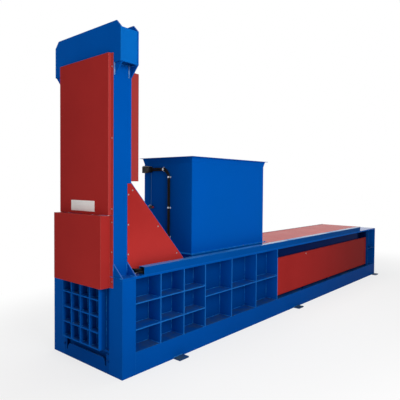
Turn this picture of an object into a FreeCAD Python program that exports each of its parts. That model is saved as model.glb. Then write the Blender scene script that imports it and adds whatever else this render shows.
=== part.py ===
# Horizontal recycling baler with a hydraulic lift gate, in millimetres, +Z up.
#
# The body is a long welded box.  Its front half is the press chamber, with
# cellular stiffened walls; its rear half holds the main cylinder.  A tower on
# the front posts carries the gate cylinder, and a hopper feeds the chamber.
#
# Stations run along X from the front plane of the posts (0) to the rear.  Each
# finished solid is moved by ORIGIN_SHIFT, so that the origin ends up on the
# ground under the middle of the whole machine.  The near long side is -Y.
import FreeCAD, Part
import math
import os

V = FreeCAD.Vector

# ---------------------------------------------------------------- body
BODY_LENGTH = 8735.0        # front plane of the posts to the rearmost face
BODY_WIDTH = 1514.0
DECK_TOP = 1235.0
DECK_PLATE = 30.0
BASE_HEIGHT = 286.0
BASE_WALL = 12.0
SIDE_DEPTH = 256.0          # outer side to the chamber face
CHAMBER_PLATE = 20.0
FLOOR_PLATE = 20.0
CROSS_PLATES = (270.0, 480.0)   # deck plates before and behind the cylinder
RIB_PLATE = 16.0
POST_DEPTH = 215.0
POST_WALL = 25.0
FRONT_RIBS = (651.0, 1103.0, 1567.0)    # rib centres, three rows of cells
MIDDLE_RIBS = (2225.0, 2926.0, 3627.0)  # rib centres, two rows of cells
FRONT_SHELVES = (556.0, 885.0)          # undersides of the shelf plates
MIDDLE_SHELF = 720.0
REAR_BAY = 516.0            # last rib to the rear end
CROSSMEMBER_PITCH = 690.0
CROSSMEMBER_HEIGHT = 180.0
CROSSMEMBER_FLANGE = 80.0
CROSSMEMBER_WEB = 10.0

# ---------------------------------------------------------------- gate
GATE_PLATE = 30.0
GATE_LIP = 25.0             # front lip of the posts and columns
GATE_PLAY = 2.0             # plate to lip
GATE_BACK_PLAY = 4.0        # plate to rear guide
GROOVE_DEPTH = 42.0
GATE_SIDE_PLAY = 6.0
GATE_CELLS_FRONT = 85.0     # cells stand this far in front of the posts
GATE_CELLS_INSET = 89.0     # cells to the side of the gate opening
GATE_COLUMNS = 4
GATE_ROWS = 4
GATE_BOTTOM_GAP = 0.5       # closed gate above the sill
GATE_CELLS_DROP = 95.0      # top of the cells below the deck
GATE_PLATE_RISE = 15.0      # top of the sliding plate above the deck
GATE_STROKE = 840.0
SILL_TOP = 299.0
SILL_DEPTH = 200.0
SILL_RECESS = 62.0          # front plane to the sill's box
SILL_NOSE = 26.0            # depth of the nose that the gate stands on
APRON_PLATE = 20.0
APRON_TOP = 185.0
APRON_INSET = 92.0          # from the posts to the apron's ends
APRON_CORNER = 45.0
SILL_RAIL = 92.0            # height of the rail between the lugs
SILL_LUG = (58.0, 245.0)    # width and height of the bolted end lugs
LINTEL_HEIGHT = 65.0
LINTEL_GAP = 8.0

# ---------------------------------------------------------------- tower
TOWER_DEPTH = 282.0
COLUMN_SETBACK = 175.0      # outer side of the body to the column
COLUMN_WEB = 20.0
COLUMN_TOP = 3862.0
GUIDE_BAR = 20.0
GUSSET_RISE = 160.0
GUSSET_PLATE = 16.0
REAR_GUSSET_INSET = 52.0    # rear gusset to the back of the column
TOP_GUSSET_DROP = 150.0
TOP_GUSSET_INSET = 18.0     # behind the crossbeam's front face
BEAM_OVERHANG = 135.5       # crossbeam beyond the columns
BEAM_TOP = 4358.0
BEAM_PLATE = 16.0
BEAM_CHAMFER = (82.0, 86.0)     # along Y, along Z
BEAM_BOX_INSET = 10.0           # box between the plates, from their ends
BRACE_SIZE = 80.0
BRACE_WALL = 8.0
BRACE_RISE = 1170.0             # up the column, from the deck
BRACE_REACH = 1075.0            # along the deck, behind the column

# ---------------------------------------------------------------- covers
SHEET = 4.0
COVER_FLANGE_EDGE = 3.0         # cover flange inside the column's outer face
UPPER_COVER_DEPTH = 42.0
UPPER_COVER_INSET = 48.0        # from the columns' outer faces
UPPER_COVER_LAP = 119.0         # over the crossbeam
LOWER_COVER_DEPTH = 147.0
LOWER_COVER_INSET = 64.0
LOWER_COVER_DROP = 139.0        # below the deck
LOWER_COVER_ROOM = 8.0          # over the lifted cells
COVER_JOINT = 4.0
REAR_COVER_DEPTH = 124.0
REAR_COVER_RISE = 14.0          # its foot above the braces
REAR_COVER_DROP = 68.0          # below the crossbeam
GUARD_LAP = 62.0                # guard sheet over the column
GUARD_CLEAR = 5.0               # notch round the rear gusset
GUARD_SCREW_EDGE = 13.0         # screws from the lapped edge
GUARD_SCREW_TRIM = 53.0         # screws from the raking edge
GUARD_EDGE = 9.0                # brace showing beyond the guard
PANEL_RECESS = 36.0
PANEL_RETURN = 30.0
PANEL_BOTTOM = 340.0
PANEL_TOP = 1035.0
PANEL_END_GAP = 50.0            # to the rear rib
BAND_PLATE = 12.0
TRAY_COUNT = 4
TRAY_HEIGHT = 14.0
TRAY_EDGES = (380.0, 44.0)      # near and far sides of the body to the covers
TRAY_LAP = 24.0                 # near edge of the covers over the deck
TRAY_GAP = 11.0                 # behind the hopper's foot
TRAY_END_GAP = 55.0             # to the rear end
TRAY_JOINT = 5.0
DUCT_START = 72.0               # behind the tower
DUCT_END_GAP = 1079.0           # to the rear end
DUCT_SIZE = 100.0

# ---------------------------------------------------------------- hopper
HOPPER_START = 1515.0
HOPPER_LENGTH = 1965.0
HOPPER_LAP = 20.0           # wall outside the chamber's side
HOPPER_SHEET = 6.0
HOPPER_RISE = 1374.0        # foot to the flare
RIM_RISE = 94.0
RIM_FLARE = 22.0
RIM_FLANGE = 38.0           # level flange beyond the flare
FOOT_FLANGE = 55.0
THROAT_HEIGHT = 100.0
THROAT_PLATE = 15.0

# ---------------------------------------------------------------- ram
RAM_STROKE = 2700.0
RAM_FRONT = 3470.0          # platen face, ram drawn back
RAM_BOX_LENGTH = 900.0
TAIL_LAP = 69.0             # top plate behind the feed opening, ram advanced
TAIL_FIN = (70.0, 20.0)     # depth of the fins under the top plate, front and rear
RAM_SIDE_PLAY = 4.0
RAM_TOP_PLAY = 10.0
PLATEN_PLATE = 40.0
RAM_PLATE = 20.0
RAM_TOP_PLATE = 25.0
SHOE_HEIGHT = 10.0
SHOE_WIDTH = 80.0
SHOE_OFFSET = 290.0
SHOE_PLAY = 1.0
KNIFE_BAR = (20.0, 90.0)    # thickness and depth of the moving knife
KNIFE_PLAY = 3.0
FIXED_KNIFE = 30.0
TAIL_RAIL = (50.0, 27.0)    # width and height
TAIL_RAIL_PLAY = 2.0
TAIL_RAIL_GAP = 40.0        # behind the ram box

# ---------------------------------------------------------------- cylinders
MAIN_AXIS_Z = 746.0
MAIN_BARREL = (325.0, 280.0)    # outside and bore diameters
MAIN_ROD = 200.0
MAIN_GLAND = (400.0, 160.0)     # diameter and length
MAIN_FLANGE = (440.0, 50.0)     # rear flange
ROD_FLANGE = (320.0, 60.0)
MAIN_PORT = (90.0, 40.0)        # width and height of the port blocks
MAIN_BACK_GAP = 1007.0          # barrel to the rear plate
CROSSHEAD = 60.0
GLAND_GAP = 110.0               # ram box to gland, ram drawn back
MAIN_PISTON = 150.0
SADDLE_GAP = 1220.0             # cradle before the barrel's rear face
SADDLE_PLATE = 40.0
SADDLE_FOOT = 60.0              # foot beyond the cradle, all round
SADDLE_TOP = 30.0               # top of the cradle below the axis
CROSSHEAD_RIB_LOW = 120.0       # height of the raking ribs at the rear plate
CROSSHEAD_RIB_DROP = 120.0      # their upper end below the deck
CROSSHEAD_RIB_SPREAD = 380.0    # outer ribs from the middle
PISTON_BACK = 50.0              # main piston before the barrel's end
MAIN_SPIGOT = 140.0             # rod's end in the piston
ROD_PLAY = 0.5                  # all sliding seals, on the radius

GATE_AXIS_X = 75.0
GATE_BARREL = (127.0, 100.0)
GATE_ROD = 70.0
GATE_GLAND = (150.0, 60.0)
GATE_CAP = 30.0                 # closed end of the gate barrel
GATE_PISTON = 60.0
GATE_PISTON_RISE = 20.0         # above the barrel's foot, gate closed
GATE_SPIGOT = 50.0              # rod's end in the piston
GLAND_ROOM = 10.0               # gland above the lifted rod eye
HANGER_DROP = 204.0             # barrel below the crossbeam
EYE_RADIUS = 42.0
EYE_WIDTH = 50.0
EYE_SHOULDER = 8.0          # eye to the round of the rod
CHEEK_PLATE = 20.0
CHEEK_PLAY = 1.0
PIN_DIAMETER = 40.0
PIN_PLAY = 0.3
KEEPER = (64.0, 24.0, 8.0)  # length, width and thickness of the pins' keeper bars
PIN_HEAD = 56.0
LUG_PAD = 20.0
HANGER_PAD_HALF = 150.0

# ---------------------------------------------------------------- small parts
ANCHOR_STATIONS = (985.0, 4345.0)
ANCHOR_END_GAP = 135.0          # last anchor plate to the rear end
ANCHOR_PLATE = (180.0, 120.0, 20.0)
ANCHOR_HOLE = 26.0
SCREW_HEAD = (14.0, 6.0)        # across flats and height
SCREW_END = 80.0                # from the end of a cover to its end screws
SCREW_TOP = 165.0               # from the top of the upper cover
SENSOR_DROP = 89.0              # sensor's middle below the hopper's flare
SENSOR = (80.0, 172.0, 100.0)   # depth, width and height of the upper sensor
SENSOR_SIDE = 333.0             # its side towards the conduits
SENSOR_CORNER = 10.0
LOWER_SENSOR_DROP = 605.0       # lower sensor's middle below the upper one
LOWER_SENSOR = (40.0, 82.0, 54.0)
LOWER_SENSOR_SIDE = 290.0
SENSOR_BRACKET = (4.0, 40.0, 60.0)  # its plate on the wall, beside the sensor
SENSOR_LEAD = 10.0
LEAD_SIDE = 353.0
CONDUIT = 25.0
CONDUIT_PITCH = 28.0            # the two conduits run side by side
CONDUIT_STANDOFF = 3.0
CONDUIT_BEND = 60.0             # mean radius of the pair
CONDUIT_SIDE = -52.0            # the pair's upright run
CONDUIT_KNEE = (35.0, 85.0)     # where it leaves the level run, and its fall from there
CLIP_DROPS = (124.0, 603.0, 1060.0)     # clips below the level run
CLIP_SIDE = 73.0                # clip on the level run
CLIP_EDGE = 5.0                 # clip beyond the conduits
CLIP_PLAY = 0.5
CLIP_WIDTH = 24.0
HOSE = 30.0
HOSE_BEND = 95.0
HOSE_SIDES = 12
HOSE_PLACES = ((-14.0, -18.0), (14.0, 12.0))    # from the middle of the duct
HOSE_TURN = 14.0                # hoses behind the tower
GUARD_SCREW_ENDS = (255.0, 155.0)       # above the deck, and below the brace's top
GUARD_SCREW_SHARES = (0.02, 0.47, 0.84)     # along the raking edge
ACCESS_OPENING = (600.0, 500.0)
ACCESS_LAP = 30.0
REAR_PLATE = 24.0

# ---------------------------------------------------------------- derived
HALF_WIDTH = BODY_WIDTH / 2
REAR_RIB = BODY_LENGTH - REAR_BAY
CHAMBER_HALF = HALF_WIDTH - SIDE_DEPTH
DECK_UNDER = DECK_TOP - DECK_PLATE
FLOOR_TOP = BASE_HEIGHT + FLOOR_PLATE
COLUMN_FACE = HALF_WIDTH - COLUMN_SETBACK       # distance of its outer face
GATE_X0 = GATE_LIP + GATE_PLAY
GATE_X1 = GATE_X0 + GATE_PLATE
GROOVE_X1 = GATE_X1 + GATE_BACK_PLAY
GROOVE_HALF = CHAMBER_HALF + GROOVE_DEPTH
GATE_BOTTOM = SILL_TOP + GATE_BOTTOM_GAP
GATE_CELLS_TOP = DECK_TOP - GATE_CELLS_DROP
GATE_PLATE_TOP = DECK_TOP + GATE_PLATE_RISE
GATE_CELLS_WIDTH = 2 * (CHAMBER_HALF - GATE_CELLS_INSET)
BEAM_LENGTH = 2 * (COLUMN_FACE + BEAM_OVERHANG)
REAR_GUSSET = TOWER_DEPTH - REAR_GUSSET_INSET       # its rear face
BRACE_TOP = DECK_TOP + BRACE_RISE
UPPER_COVER_WIDTH = 2 * (COLUMN_FACE - UPPER_COVER_INSET)
UPPER_COVER_TOP = COLUMN_TOP + UPPER_COVER_LAP
LOWER_COVER_WIDTH = 2 * (COLUMN_FACE - LOWER_COVER_INSET)
LOWER_COVER_TOP = GATE_CELLS_TOP + GATE_STROKE + LOWER_COVER_ROOM + SHEET
LOWER_COVER_BOTTOM = DECK_TOP - LOWER_COVER_DROP
REAR_COVER_TOP = COLUMN_TOP - REAR_COVER_DROP
REAR_COVER_BOTTOM = BRACE_TOP + REAR_COVER_RISE
DUCT_X0 = TOWER_DEPTH + DUCT_START
DUCT_X1 = BODY_LENGTH - DUCT_END_GAP
THROAT_TOP = DECK_TOP + THROAT_HEIGHT
HOPPER_WIDTH = 2 * (CHAMBER_HALF + HOPPER_LAP)
HOPPER_SHOULDER = THROAT_TOP + HOPPER_RISE
HOPPER_END = HOPPER_START + HOPPER_LENGTH
HOPPER_MIDDLE = HOPPER_START + HOPPER_LENGTH / 2
FEED_START = HOPPER_START + THROAT_PLATE
FEED_END = HOPPER_END - THROAT_PLATE
RAM_TAIL_END = FEED_END + RAM_STROKE + TAIL_LAP
RAM_TOP = DECK_UNDER - RAM_TOP_PLAY
RAM_BOTTOM = FLOOR_TOP + 2 * SHOE_HEIGHT + SHOE_PLAY
RAM_HALF = CHAMBER_HALF - RAM_SIDE_PLAY
RAM_REAR = RAM_FRONT + RAM_BOX_LENGTH
GLAND_FRONT = RAM_REAR + GLAND_GAP
BARREL_FRONT = GLAND_FRONT + MAIN_GLAND[1]
INNER_END = BODY_LENGTH - SHEET - REAR_PLATE    # front face of the rear plate
MAIN_BACK = INNER_END - MAIN_BACK_GAP
SADDLE_STATION = MAIN_BACK - SADDLE_GAP
TRAY_NEAR = TRAY_EDGES[0] - HALF_WIDTH
TRAY_FAR = HALF_WIDTH - TRAY_EDGES[1]
TRAY_START = HOPPER_END + FOOT_FLANGE + TRAY_GAP
TRAY_END = BODY_LENGTH - TRAY_END_GAP
GATE_PIN_Z = GATE_PLATE_TOP + LUG_PAD + EYE_RADIUS + EYE_SHOULDER
GATE_ROD_LIFTED = GATE_PIN_Z + GATE_STROKE + EYE_RADIUS + EYE_SHOULDER
GATE_BARREL_BOTTOM = GATE_ROD_LIFTED + GLAND_ROOM + GATE_GLAND[1]
GATE_BARREL_TOP = COLUMN_TOP - HANGER_DROP
HANGER_PIN_Z = GATE_BARREL_TOP + EYE_RADIUS + EYE_SHOULDER
SENSOR_Z = HOPPER_SHOULDER - SENSOR_DROP
LOWER_SENSOR_Z = SENSOR_Z - LOWER_SENSOR_DROP
CONDUIT_X = HOPPER_START - CONDUIT_STANDOFF - CONDUIT / 2
ORIGIN_SHIFT = V(-(BODY_LENGTH - LOWER_COVER_DEPTH) / 2, 0, 0)


# ---------------------------------------------------------------- helpers
def block(x0, x1, y0, y1, z0, z1):
    return Part.makeBox(x1 - x0, y1 - y0, z1 - z0, V(x0, y0, z0))


def prism(points, axis, start, length):
    """Extrude a closed outline along an axis; points hold the other two axes."""
    place = {"x": lambda a, b: V(start, a, b),
             "y": lambda a, b: V(a, start, b),
             "z": lambda a, b: V(a, b, start)}[axis]
    along = {"x": V(length, 0, 0), "y": V(0, length, 0), "z": V(0, 0, length)}[axis]
    corners = [place(a, b) for a, b in points]
    solid = Part.Face(Part.makePolygon(corners + corners[:1])).extrude(along)
    if solid.Volume < 0:
        solid.reverse()
    return solid


def rod(centre, direction, diameter, length):
    return Part.makeCylinder(diameter / 2, length, centre, direction)


def tube(centre, direction, outside, inside, length):
    return rod(centre, direction, outside, length).cut(rod(centre, direction, inside, length))


def fused(parts):
    return parts[0].multiFuse(parts[1:]).removeSplitter()


def mirrored(shape):
    return shape.mirror(V(0, 0, 0), V(0, 1, 0))


def near_y(depth):
    """Y of a place that lies the given depth behind the near side."""
    return depth - HALF_WIDTH


def export(name, solids):
    """Move the solids of one node to the machine's origin and write them."""
    if not isinstance(solids, (list, tuple)):
        solids = [solids]
    moved = [solid.translated(ORIGIN_SHIFT) for one in solids for solid in one.Solids]
    shape = moved[0] if len(moved) == 1 else Part.makeCompound(moved)
    shape.exportStep(os.path.join("parts", name + ".step"))


def export_pair(name, near):
    export("near_" + name, near)
    export("far_" + name, mirrored(near))


# ---------------------------------------------------------------- base and floor
def base_beam():
    """Hollow side beam on the ground, behind the front post."""
    def section(inset):
        y0, y1 = near_y(inset), near_y(SIDE_DEPTH - inset)
        return [(y0, inset), (y1, inset), (y1, BASE_HEIGHT - inset), (y0, BASE_HEIGHT - inset)]
    length = INNER_END - POST_DEPTH
    outer = prism(section(0), "x", POST_DEPTH, length)
    return outer.cut(prism(section(BASE_WALL), "x", POST_DEPTH, length))


def floor_crossmembers():
    """Channel sections between the side beams, under the floor plate."""
    z0, z1 = BASE_HEIGHT - CROSSMEMBER_HEIGHT, BASE_HEIGHT
    web, flange = CROSSMEMBER_WEB, CROSSMEMBER_FLANGE
    members = []
    station = SILL_DEPTH + CROSSMEMBER_PITCH / 2
    while station + flange < INNER_END:
        outline = [(0, z0), (flange, z0), (flange, z0 + web), (web, z0 + web),
                   (web, z1 - web), (flange, z1 - web), (flange, z1), (0, z1)]
        shifted = [(station + a, b) for a, b in outline]
        members.append(prism(shifted, "y", -CHAMBER_HALF, 2 * CHAMBER_HALF))
        station += CROSSMEMBER_PITCH
    return members


def chamber_floor():
    return block(GROOVE_X1, INNER_END, -CHAMBER_HALF, CHAMBER_HALF, BASE_HEIGHT, FLOOR_TOP)


def wear_strips():
    """Flat bars on the floor that the ram's shoes slide on."""
    x0, x1 = POST_DEPTH, RAM_REAR + TAIL_RAIL_GAP
    return [block(x0, x1, y - SHOE_WIDTH / 2, y + SHOE_WIDTH / 2, FLOOR_TOP, FLOOR_TOP + SHOE_HEIGHT)
            for y in (-SHOE_OFFSET, SHOE_OFFSET)]


# ---------------------------------------------------------------- walls
def upright(station, outer_depth):
    return block(station - RIB_PLATE / 2, station + RIB_PLATE / 2, near_y(outer_depth),
                 near_y(SIDE_DEPTH - CHAMBER_PLATE), BASE_HEIGHT, DECK_UNDER)


def shelf(x0, x1, z):
    return block(x0, x1, near_y(0), near_y(SIDE_DEPTH - CHAMBER_PLATE), z, z + RIB_PLATE)


def wall_plate(x0, x1):
    return block(x0, x1, near_y(SIDE_DEPTH - CHAMBER_PLATE), near_y(SIDE_DEPTH),
                 BASE_HEIGHT, DECK_UNDER)


def press_wall():
    """Cellular wall of the chamber: plate, uprights and shelves as one weldment."""
    end = MIDDLE_RIBS[-1] + RIB_PLATE / 2
    parts = [wall_plate(POST_DEPTH, end)]
    parts += [upright(station, 0) for station in FRONT_RIBS + MIDDLE_RIBS]
    parts += [shelf(POST_DEPTH, FRONT_RIBS[-1], z) for z in FRONT_SHELVES]
    parts.append(shelf(FRONT_RIBS[-1], MIDDLE_RIBS[-1], MIDDLE_SHELF))
    return fused(parts)


def rear_wall():
    """Wall beside the main cylinder, set back for the removable side panel."""
    start = MIDDLE_RIBS[-1] + RIB_PLATE / 2
    carrier = PANEL_RECESS + PANEL_RETURN
    parts = [wall_plate(start, INNER_END), upright(REAR_RIB, 0)]
    bays = 4
    pitch = (REAR_RIB - MIDDLE_RIBS[-1]) / bays
    parts += [upright(MIDDLE_RIBS[-1] + pitch * i, carrier) for i in range(1, bays)]
    parts.append(block(start, DUCT_X1, near_y(carrier), near_y(carrier + BAND_PLATE),
                       PANEL_TOP - SHEET, DECK_UNDER))
    parts.append(shelf(REAR_RIB, INNER_END, MIDDLE_SHELF))
    rail_top = RAM_TOP - RAM_TOP_PLATE - TAIL_RAIL_PLAY
    parts.append(block(RAM_REAR + TAIL_RAIL_GAP, RAM_TAIL_END, -CHAMBER_HALF,
                       TAIL_RAIL[0] - CHAMBER_HALF, rail_top - TAIL_RAIL[1], rail_top))
    return fused(parts)


def corner_post():
    """Fabricated post, hollow, with the gate's groove in its inner face."""
    def ring(x0, x1, y0, y1):
        return [(x0, y0), (x1, y0), (x1, y1), (x0, y1)]
    outer = prism(ring(0, POST_DEPTH, -HALF_WIDTH, -CHAMBER_HALF), "z", 0, DECK_UNDER)
    hollow = ring(POST_WALL, POST_DEPTH - POST_WALL, near_y(POST_WALL), -GROOVE_HALF - POST_WALL)
    groove = ring(GATE_LIP, GROOVE_X1, -GROOVE_HALF, -CHAMBER_HALF)
    for outline in (hollow, groove):
        outer = outer.cut(prism(outline, "z", 0, DECK_UNDER))
    return outer


def front_sill():
    """Hollow cross member under the gate: a nose, an apron on a rail and two end lugs."""
    wall, box = BASE_WALL, SILL_RECESS
    outline = [(box, 0), (SILL_DEPTH, 0), (SILL_DEPTH, BASE_HEIGHT), (GROOVE_X1, BASE_HEIGHT),
               (GROOVE_X1, SILL_TOP), (0, SILL_TOP), (0, SILL_TOP - SILL_NOSE),
               (box, SILL_TOP - SILL_NOSE)]
    hollow = [(box + wall, wall), (SILL_DEPTH - wall, wall),
              (SILL_DEPTH - wall, BASE_HEIGHT - wall), (box + wall, BASE_HEIGHT - wall)]
    beam = prism(outline, "y", -CHAMBER_HALF, 2 * CHAMBER_HALF)
    beam = beam.cut(prism(hollow, "y", -CHAMBER_HALF, 2 * CHAMBER_HALF))
    half, corner = CHAMBER_HALF - APRON_INSET, APRON_CORNER
    apron = prism([(-half, 0), (half, 0), (half, APRON_TOP - corner), (half - corner, APRON_TOP),
                   (corner - half, APRON_TOP), (-half, APRON_TOP - corner)], "x", 0, APRON_PLATE)
    foot = block(0, box, -CHAMBER_HALF, CHAMBER_HALF, 0, wall)
    rail = block(0, APRON_PLATE, -CHAMBER_HALF, CHAMBER_HALF, 0, SILL_RAIL)
    lug = block(0, APRON_PLATE, -CHAMBER_HALF, SILL_LUG[0] - CHAMBER_HALF, 0, SILL_LUG[1])
    return fused([beam, foot, rail, apron, lug, mirrored(lug)])


def along_x(edge):
    a, b = edge.Vertexes[0].Point, edge.Vertexes[-1].Point
    return abs(b.y - a.y) < 0.01 and abs(b.z - a.z) < 0.01


def front_lintel():
    return block(GATE_X1 + LINTEL_GAP, POST_DEPTH, -CHAMBER_HALF, CHAMBER_HALF,
                 DECK_UNDER - LINTEL_HEIGHT, DECK_UNDER)


# ---------------------------------------------------------------- deck
def deck_front():
    """Deck plate over the posts and the front of the chamber, open for the gate."""
    plate = block(0, FEED_START - FIXED_KNIFE, -HALF_WIDTH, HALF_WIDTH, DECK_UNDER, DECK_TOP)
    plate = plate.cut(block(0, GATE_LIP, -CHAMBER_HALF, CHAMBER_HALF, DECK_UNDER, DECK_TOP))
    return plate.cut(block(GATE_LIP, GROOVE_X1, -GROOVE_HALF, GROOVE_HALF, DECK_UNDER, DECK_TOP))


def deck_strips():
    """Long deck plates of both sides; the near one is wider beside the cylinder."""
    x0, x1 = FEED_START - FIXED_KNIFE, BODY_LENGTH - SHEET
    near = block(x0, x1, -HALF_WIDTH, -CHAMBER_HALF, DECK_UNDER, DECK_TOP)
    wide = block(FEED_END, x1, -CHAMBER_HALF, TRAY_NEAR + TRAY_LAP, DECK_UNDER, DECK_TOP)
    return [fused([near, wide]), mirrored(near)]


def deck_cross_plates():
    y0, y1 = TRAY_NEAR + TRAY_LAP, CHAMBER_HALF
    spans = ((FEED_END, FEED_END + CROSS_PLATES[0]),
             (BODY_LENGTH - SHEET - CROSS_PLATES[1], BODY_LENGTH - SHEET))
    return [block(x0, x1, y0, y1, DECK_UNDER, DECK_TOP) for x0, x1 in spans]


def fixed_knife():
    bottom = RAM_TOP + KNIFE_PLAY
    return block(FEED_START - FIXED_KNIFE, FEED_START, -CHAMBER_HALF, CHAMBER_HALF, bottom, DECK_TOP)


def side_duct():
    """Folded cable duct along the near edge of the deck, open at the front."""
    outer = block(DUCT_X0, DUCT_X1, near_y(0), near_y(DUCT_SIZE), DECK_TOP, DECK_TOP + DUCT_SIZE)
    inner = block(DUCT_X0, DUCT_X1 - SHEET, near_y(SHEET), near_y(DUCT_SIZE - SHEET),
                  DECK_TOP + SHEET, DECK_TOP + DUCT_SIZE - SHEET)
    return outer.cut(inner)


# ---------------------------------------------------------------- tower
def column():
    """Channel column, open inwards, with its gussets welded on."""
    outer, inner = -COLUMN_FACE, -CHAMBER_HALF
    web = outer + COLUMN_WEB
    back = TOWER_DEPTH - COLUMN_WEB
    outline = [(0, outer), (TOWER_DEPTH, outer), (TOWER_DEPTH, inner), (back, inner),
               (back, web), (GATE_LIP, web), (GATE_LIP, inner), (0, inner)]
    parts = [prism(outline, "z", DECK_TOP, COLUMN_TOP - DECK_TOP)]
    return fused(parts + base_gussets(outer) + top_gussets(outer))


def base_gussets(face):
    outline = [(near_y(0), DECK_TOP), (face, DECK_TOP), (face, DECK_TOP + GUSSET_RISE)]
    return [prism(outline, "x", x, GUSSET_PLATE) for x in (0, REAR_GUSSET - GUSSET_PLATE)]


def top_gussets(face):
    reach = BEAM_LENGTH / 2 - COLUMN_FACE
    outline = [(face - reach, COLUMN_TOP), (face, COLUMN_TOP), (face, COLUMN_TOP - TOP_GUSSET_DROP)]
    return [prism(outline, "x", x, GUSSET_PLATE)
            for x in (TOP_GUSSET_INSET, TOWER_DEPTH - GUSSET_PLATE)]


def brace_outline(trim, width):
    """Raking strip behind the column; trim lowers its upper edge square to it."""
    rise = BRACE_TOP - DECK_TOP
    slope = math.atan2(rise, BRACE_REACH)
    up, along = 1 / math.cos(slope), 1 / math.sin(slope)
    x0, x1 = TOWER_DEPTH, TOWER_DEPTH + BRACE_REACH
    return [(x0, BRACE_TOP - trim * up), (x1 - trim * along, DECK_TOP),
            (x1 - (trim + width) * along, DECK_TOP), (x0, BRACE_TOP - (trim + width) * up)]


def brace():
    """Square tube from the column down to the deck."""
    face = -COLUMN_FACE
    solid = prism(brace_outline(0, BRACE_SIZE), "y", face, BRACE_SIZE)
    inside = prism(brace_outline(BRACE_WALL, BRACE_SIZE - 2 * BRACE_WALL), "y",
                   face + BRACE_WALL, BRACE_SIZE - 2 * BRACE_WALL)
    return solid.cut(inside)


def side_guard():
    """Three-cornered sheet over the brace, lapped onto the column round its gusset."""
    lap_x, notch_x = TOWER_DEPTH - GUARD_LAP, REAR_GUSSET + GUARD_CLEAR
    notch_z = DECK_TOP + GUSSET_RISE + GUARD_CLEAR
    top, foot = brace_outline(GUARD_EDGE, 0)[:2]
    outline = [(notch_x, DECK_TOP + SHEET), (notch_x, notch_z), (lap_x, notch_z), (lap_x, top[1]),
               top, (foot[0], DECK_TOP + SHEET)]
    return prism(outline, "y", -COLUMN_FACE - SHEET, SHEET)


def gate_guide():
    """Bar behind the gate's edge, above the deck."""
    top = GATE_PLATE_TOP + GATE_STROKE + GUIDE_BAR
    return block(GROOVE_X1, GROOVE_X1 + GUIDE_BAR, -COLUMN_FACE + COLUMN_WEB, -CHAMBER_HALF,
                 DECK_TOP, top)


def beam_plate(x):
    """Long plate of the crossbeam with chamfered upper corners."""
    half = BEAM_LENGTH / 2
    run, rise = BEAM_CHAMFER
    outline = [(-half, COLUMN_TOP), (half, COLUMN_TOP), (half, BEAM_TOP - rise), (half - run, BEAM_TOP),
               (run - half, BEAM_TOP), (-half, BEAM_TOP - rise)]
    return prism(outline, "x", x, BEAM_PLATE)


def crossbeam():
    """Two long plates with a box of sides and top between them, and the cylinder's hanger."""
    x0, x1 = BEAM_PLATE, TOWER_DEPTH - BEAM_PLATE
    half, top = BEAM_LENGTH / 2 - BEAM_BOX_INSET, BEAM_TOP - BEAM_CHAMFER[1]
    under = top - BEAM_PLATE
    box = block(x0, x1, -half, half, COLUMN_TOP, top)
    box = box.cut(block(x0, x1, BEAM_PLATE - half, half - BEAM_PLATE, COLUMN_TOP, under))
    web = block(x0, x1, -COLUMN_FACE, BEAM_PLATE - COLUMN_FACE, COLUMN_TOP, under)
    pad = block(x0, x1, -HANGER_PAD_HALF, HANGER_PAD_HALF, COLUMN_TOP, COLUMN_TOP + LUG_PAD)
    parts = [beam_plate(0), beam_plate(x1), box, web, mirrored(web), pad]
    return fused(parts + cheeks(HANGER_PIN_Z, COLUMN_TOP))


def cheeks(pin_z, root_z):
    """Pair of rounded lugs with a pin hole, standing on root_z."""
    lugs = []
    for y in (-EYE_WIDTH / 2 - CHEEK_PLAY - CHEEK_PLATE, EYE_WIDTH / 2 + CHEEK_PLAY):
        lug = block(GATE_AXIS_X - EYE_RADIUS, GATE_AXIS_X + EYE_RADIUS, y, y + CHEEK_PLATE,
                    min(pin_z, root_z), max(pin_z, root_z))
        centre = V(GATE_AXIS_X, y, pin_z)
        lug = lug.fuse(rod(centre, V(0, 1, 0), 2 * EYE_RADIUS, CHEEK_PLATE))
        lugs.append(lug.cut(rod(centre, V(0, 1, 0), PIN_DIAMETER + 2 * PIN_PLAY, CHEEK_PLATE)))
    return lugs


# ---------------------------------------------------------------- covers
def hat_section(depth, width, flange_half, z0, z1, cap_top, cap_bottom):
    """Folded front cover: tray with side flanges against the columns."""
    half = width / 2
    sheet = SHEET
    outline = [(0, -flange_half), (0, sheet - half), (sheet - depth, sheet - half),
               (sheet - depth, half - sheet), (0, half - sheet), (0, flange_half),
               (-sheet, flange_half), (-sheet, half), (-depth, half), (-depth, -half),
               (-sheet, -half), (-sheet, -flange_half)]
    parts = [prism(outline, "z", z0, z1 - z0)]
    ends = ([z1 - sheet] if cap_top else []) + ([z0] if cap_bottom else [])
    parts += [block(-depth, 0, -half, half, z, z + sheet) for z in ends]
    return fused(parts)


def front_covers():
    flange_half = COLUMN_FACE - COVER_FLANGE_EDGE
    upper = hat_section(UPPER_COVER_DEPTH, UPPER_COVER_WIDTH, flange_half,
                        LOWER_COVER_TOP + COVER_JOINT, UPPER_COVER_TOP, True, False)
    lower = hat_section(LOWER_COVER_DEPTH, LOWER_COVER_WIDTH, flange_half,
                        LOWER_COVER_BOTTOM, LOWER_COVER_TOP, False, False)
    lid = block(-LOWER_COVER_DEPTH, -UPPER_COVER_DEPTH + SHEET, -LOWER_COVER_WIDTH / 2,
                LOWER_COVER_WIDTH / 2, LOWER_COVER_TOP - SHEET, LOWER_COVER_TOP)
    export("front_cover_upper", upper)
    export("front_cover_lower", fused([lower, lid]))


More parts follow.
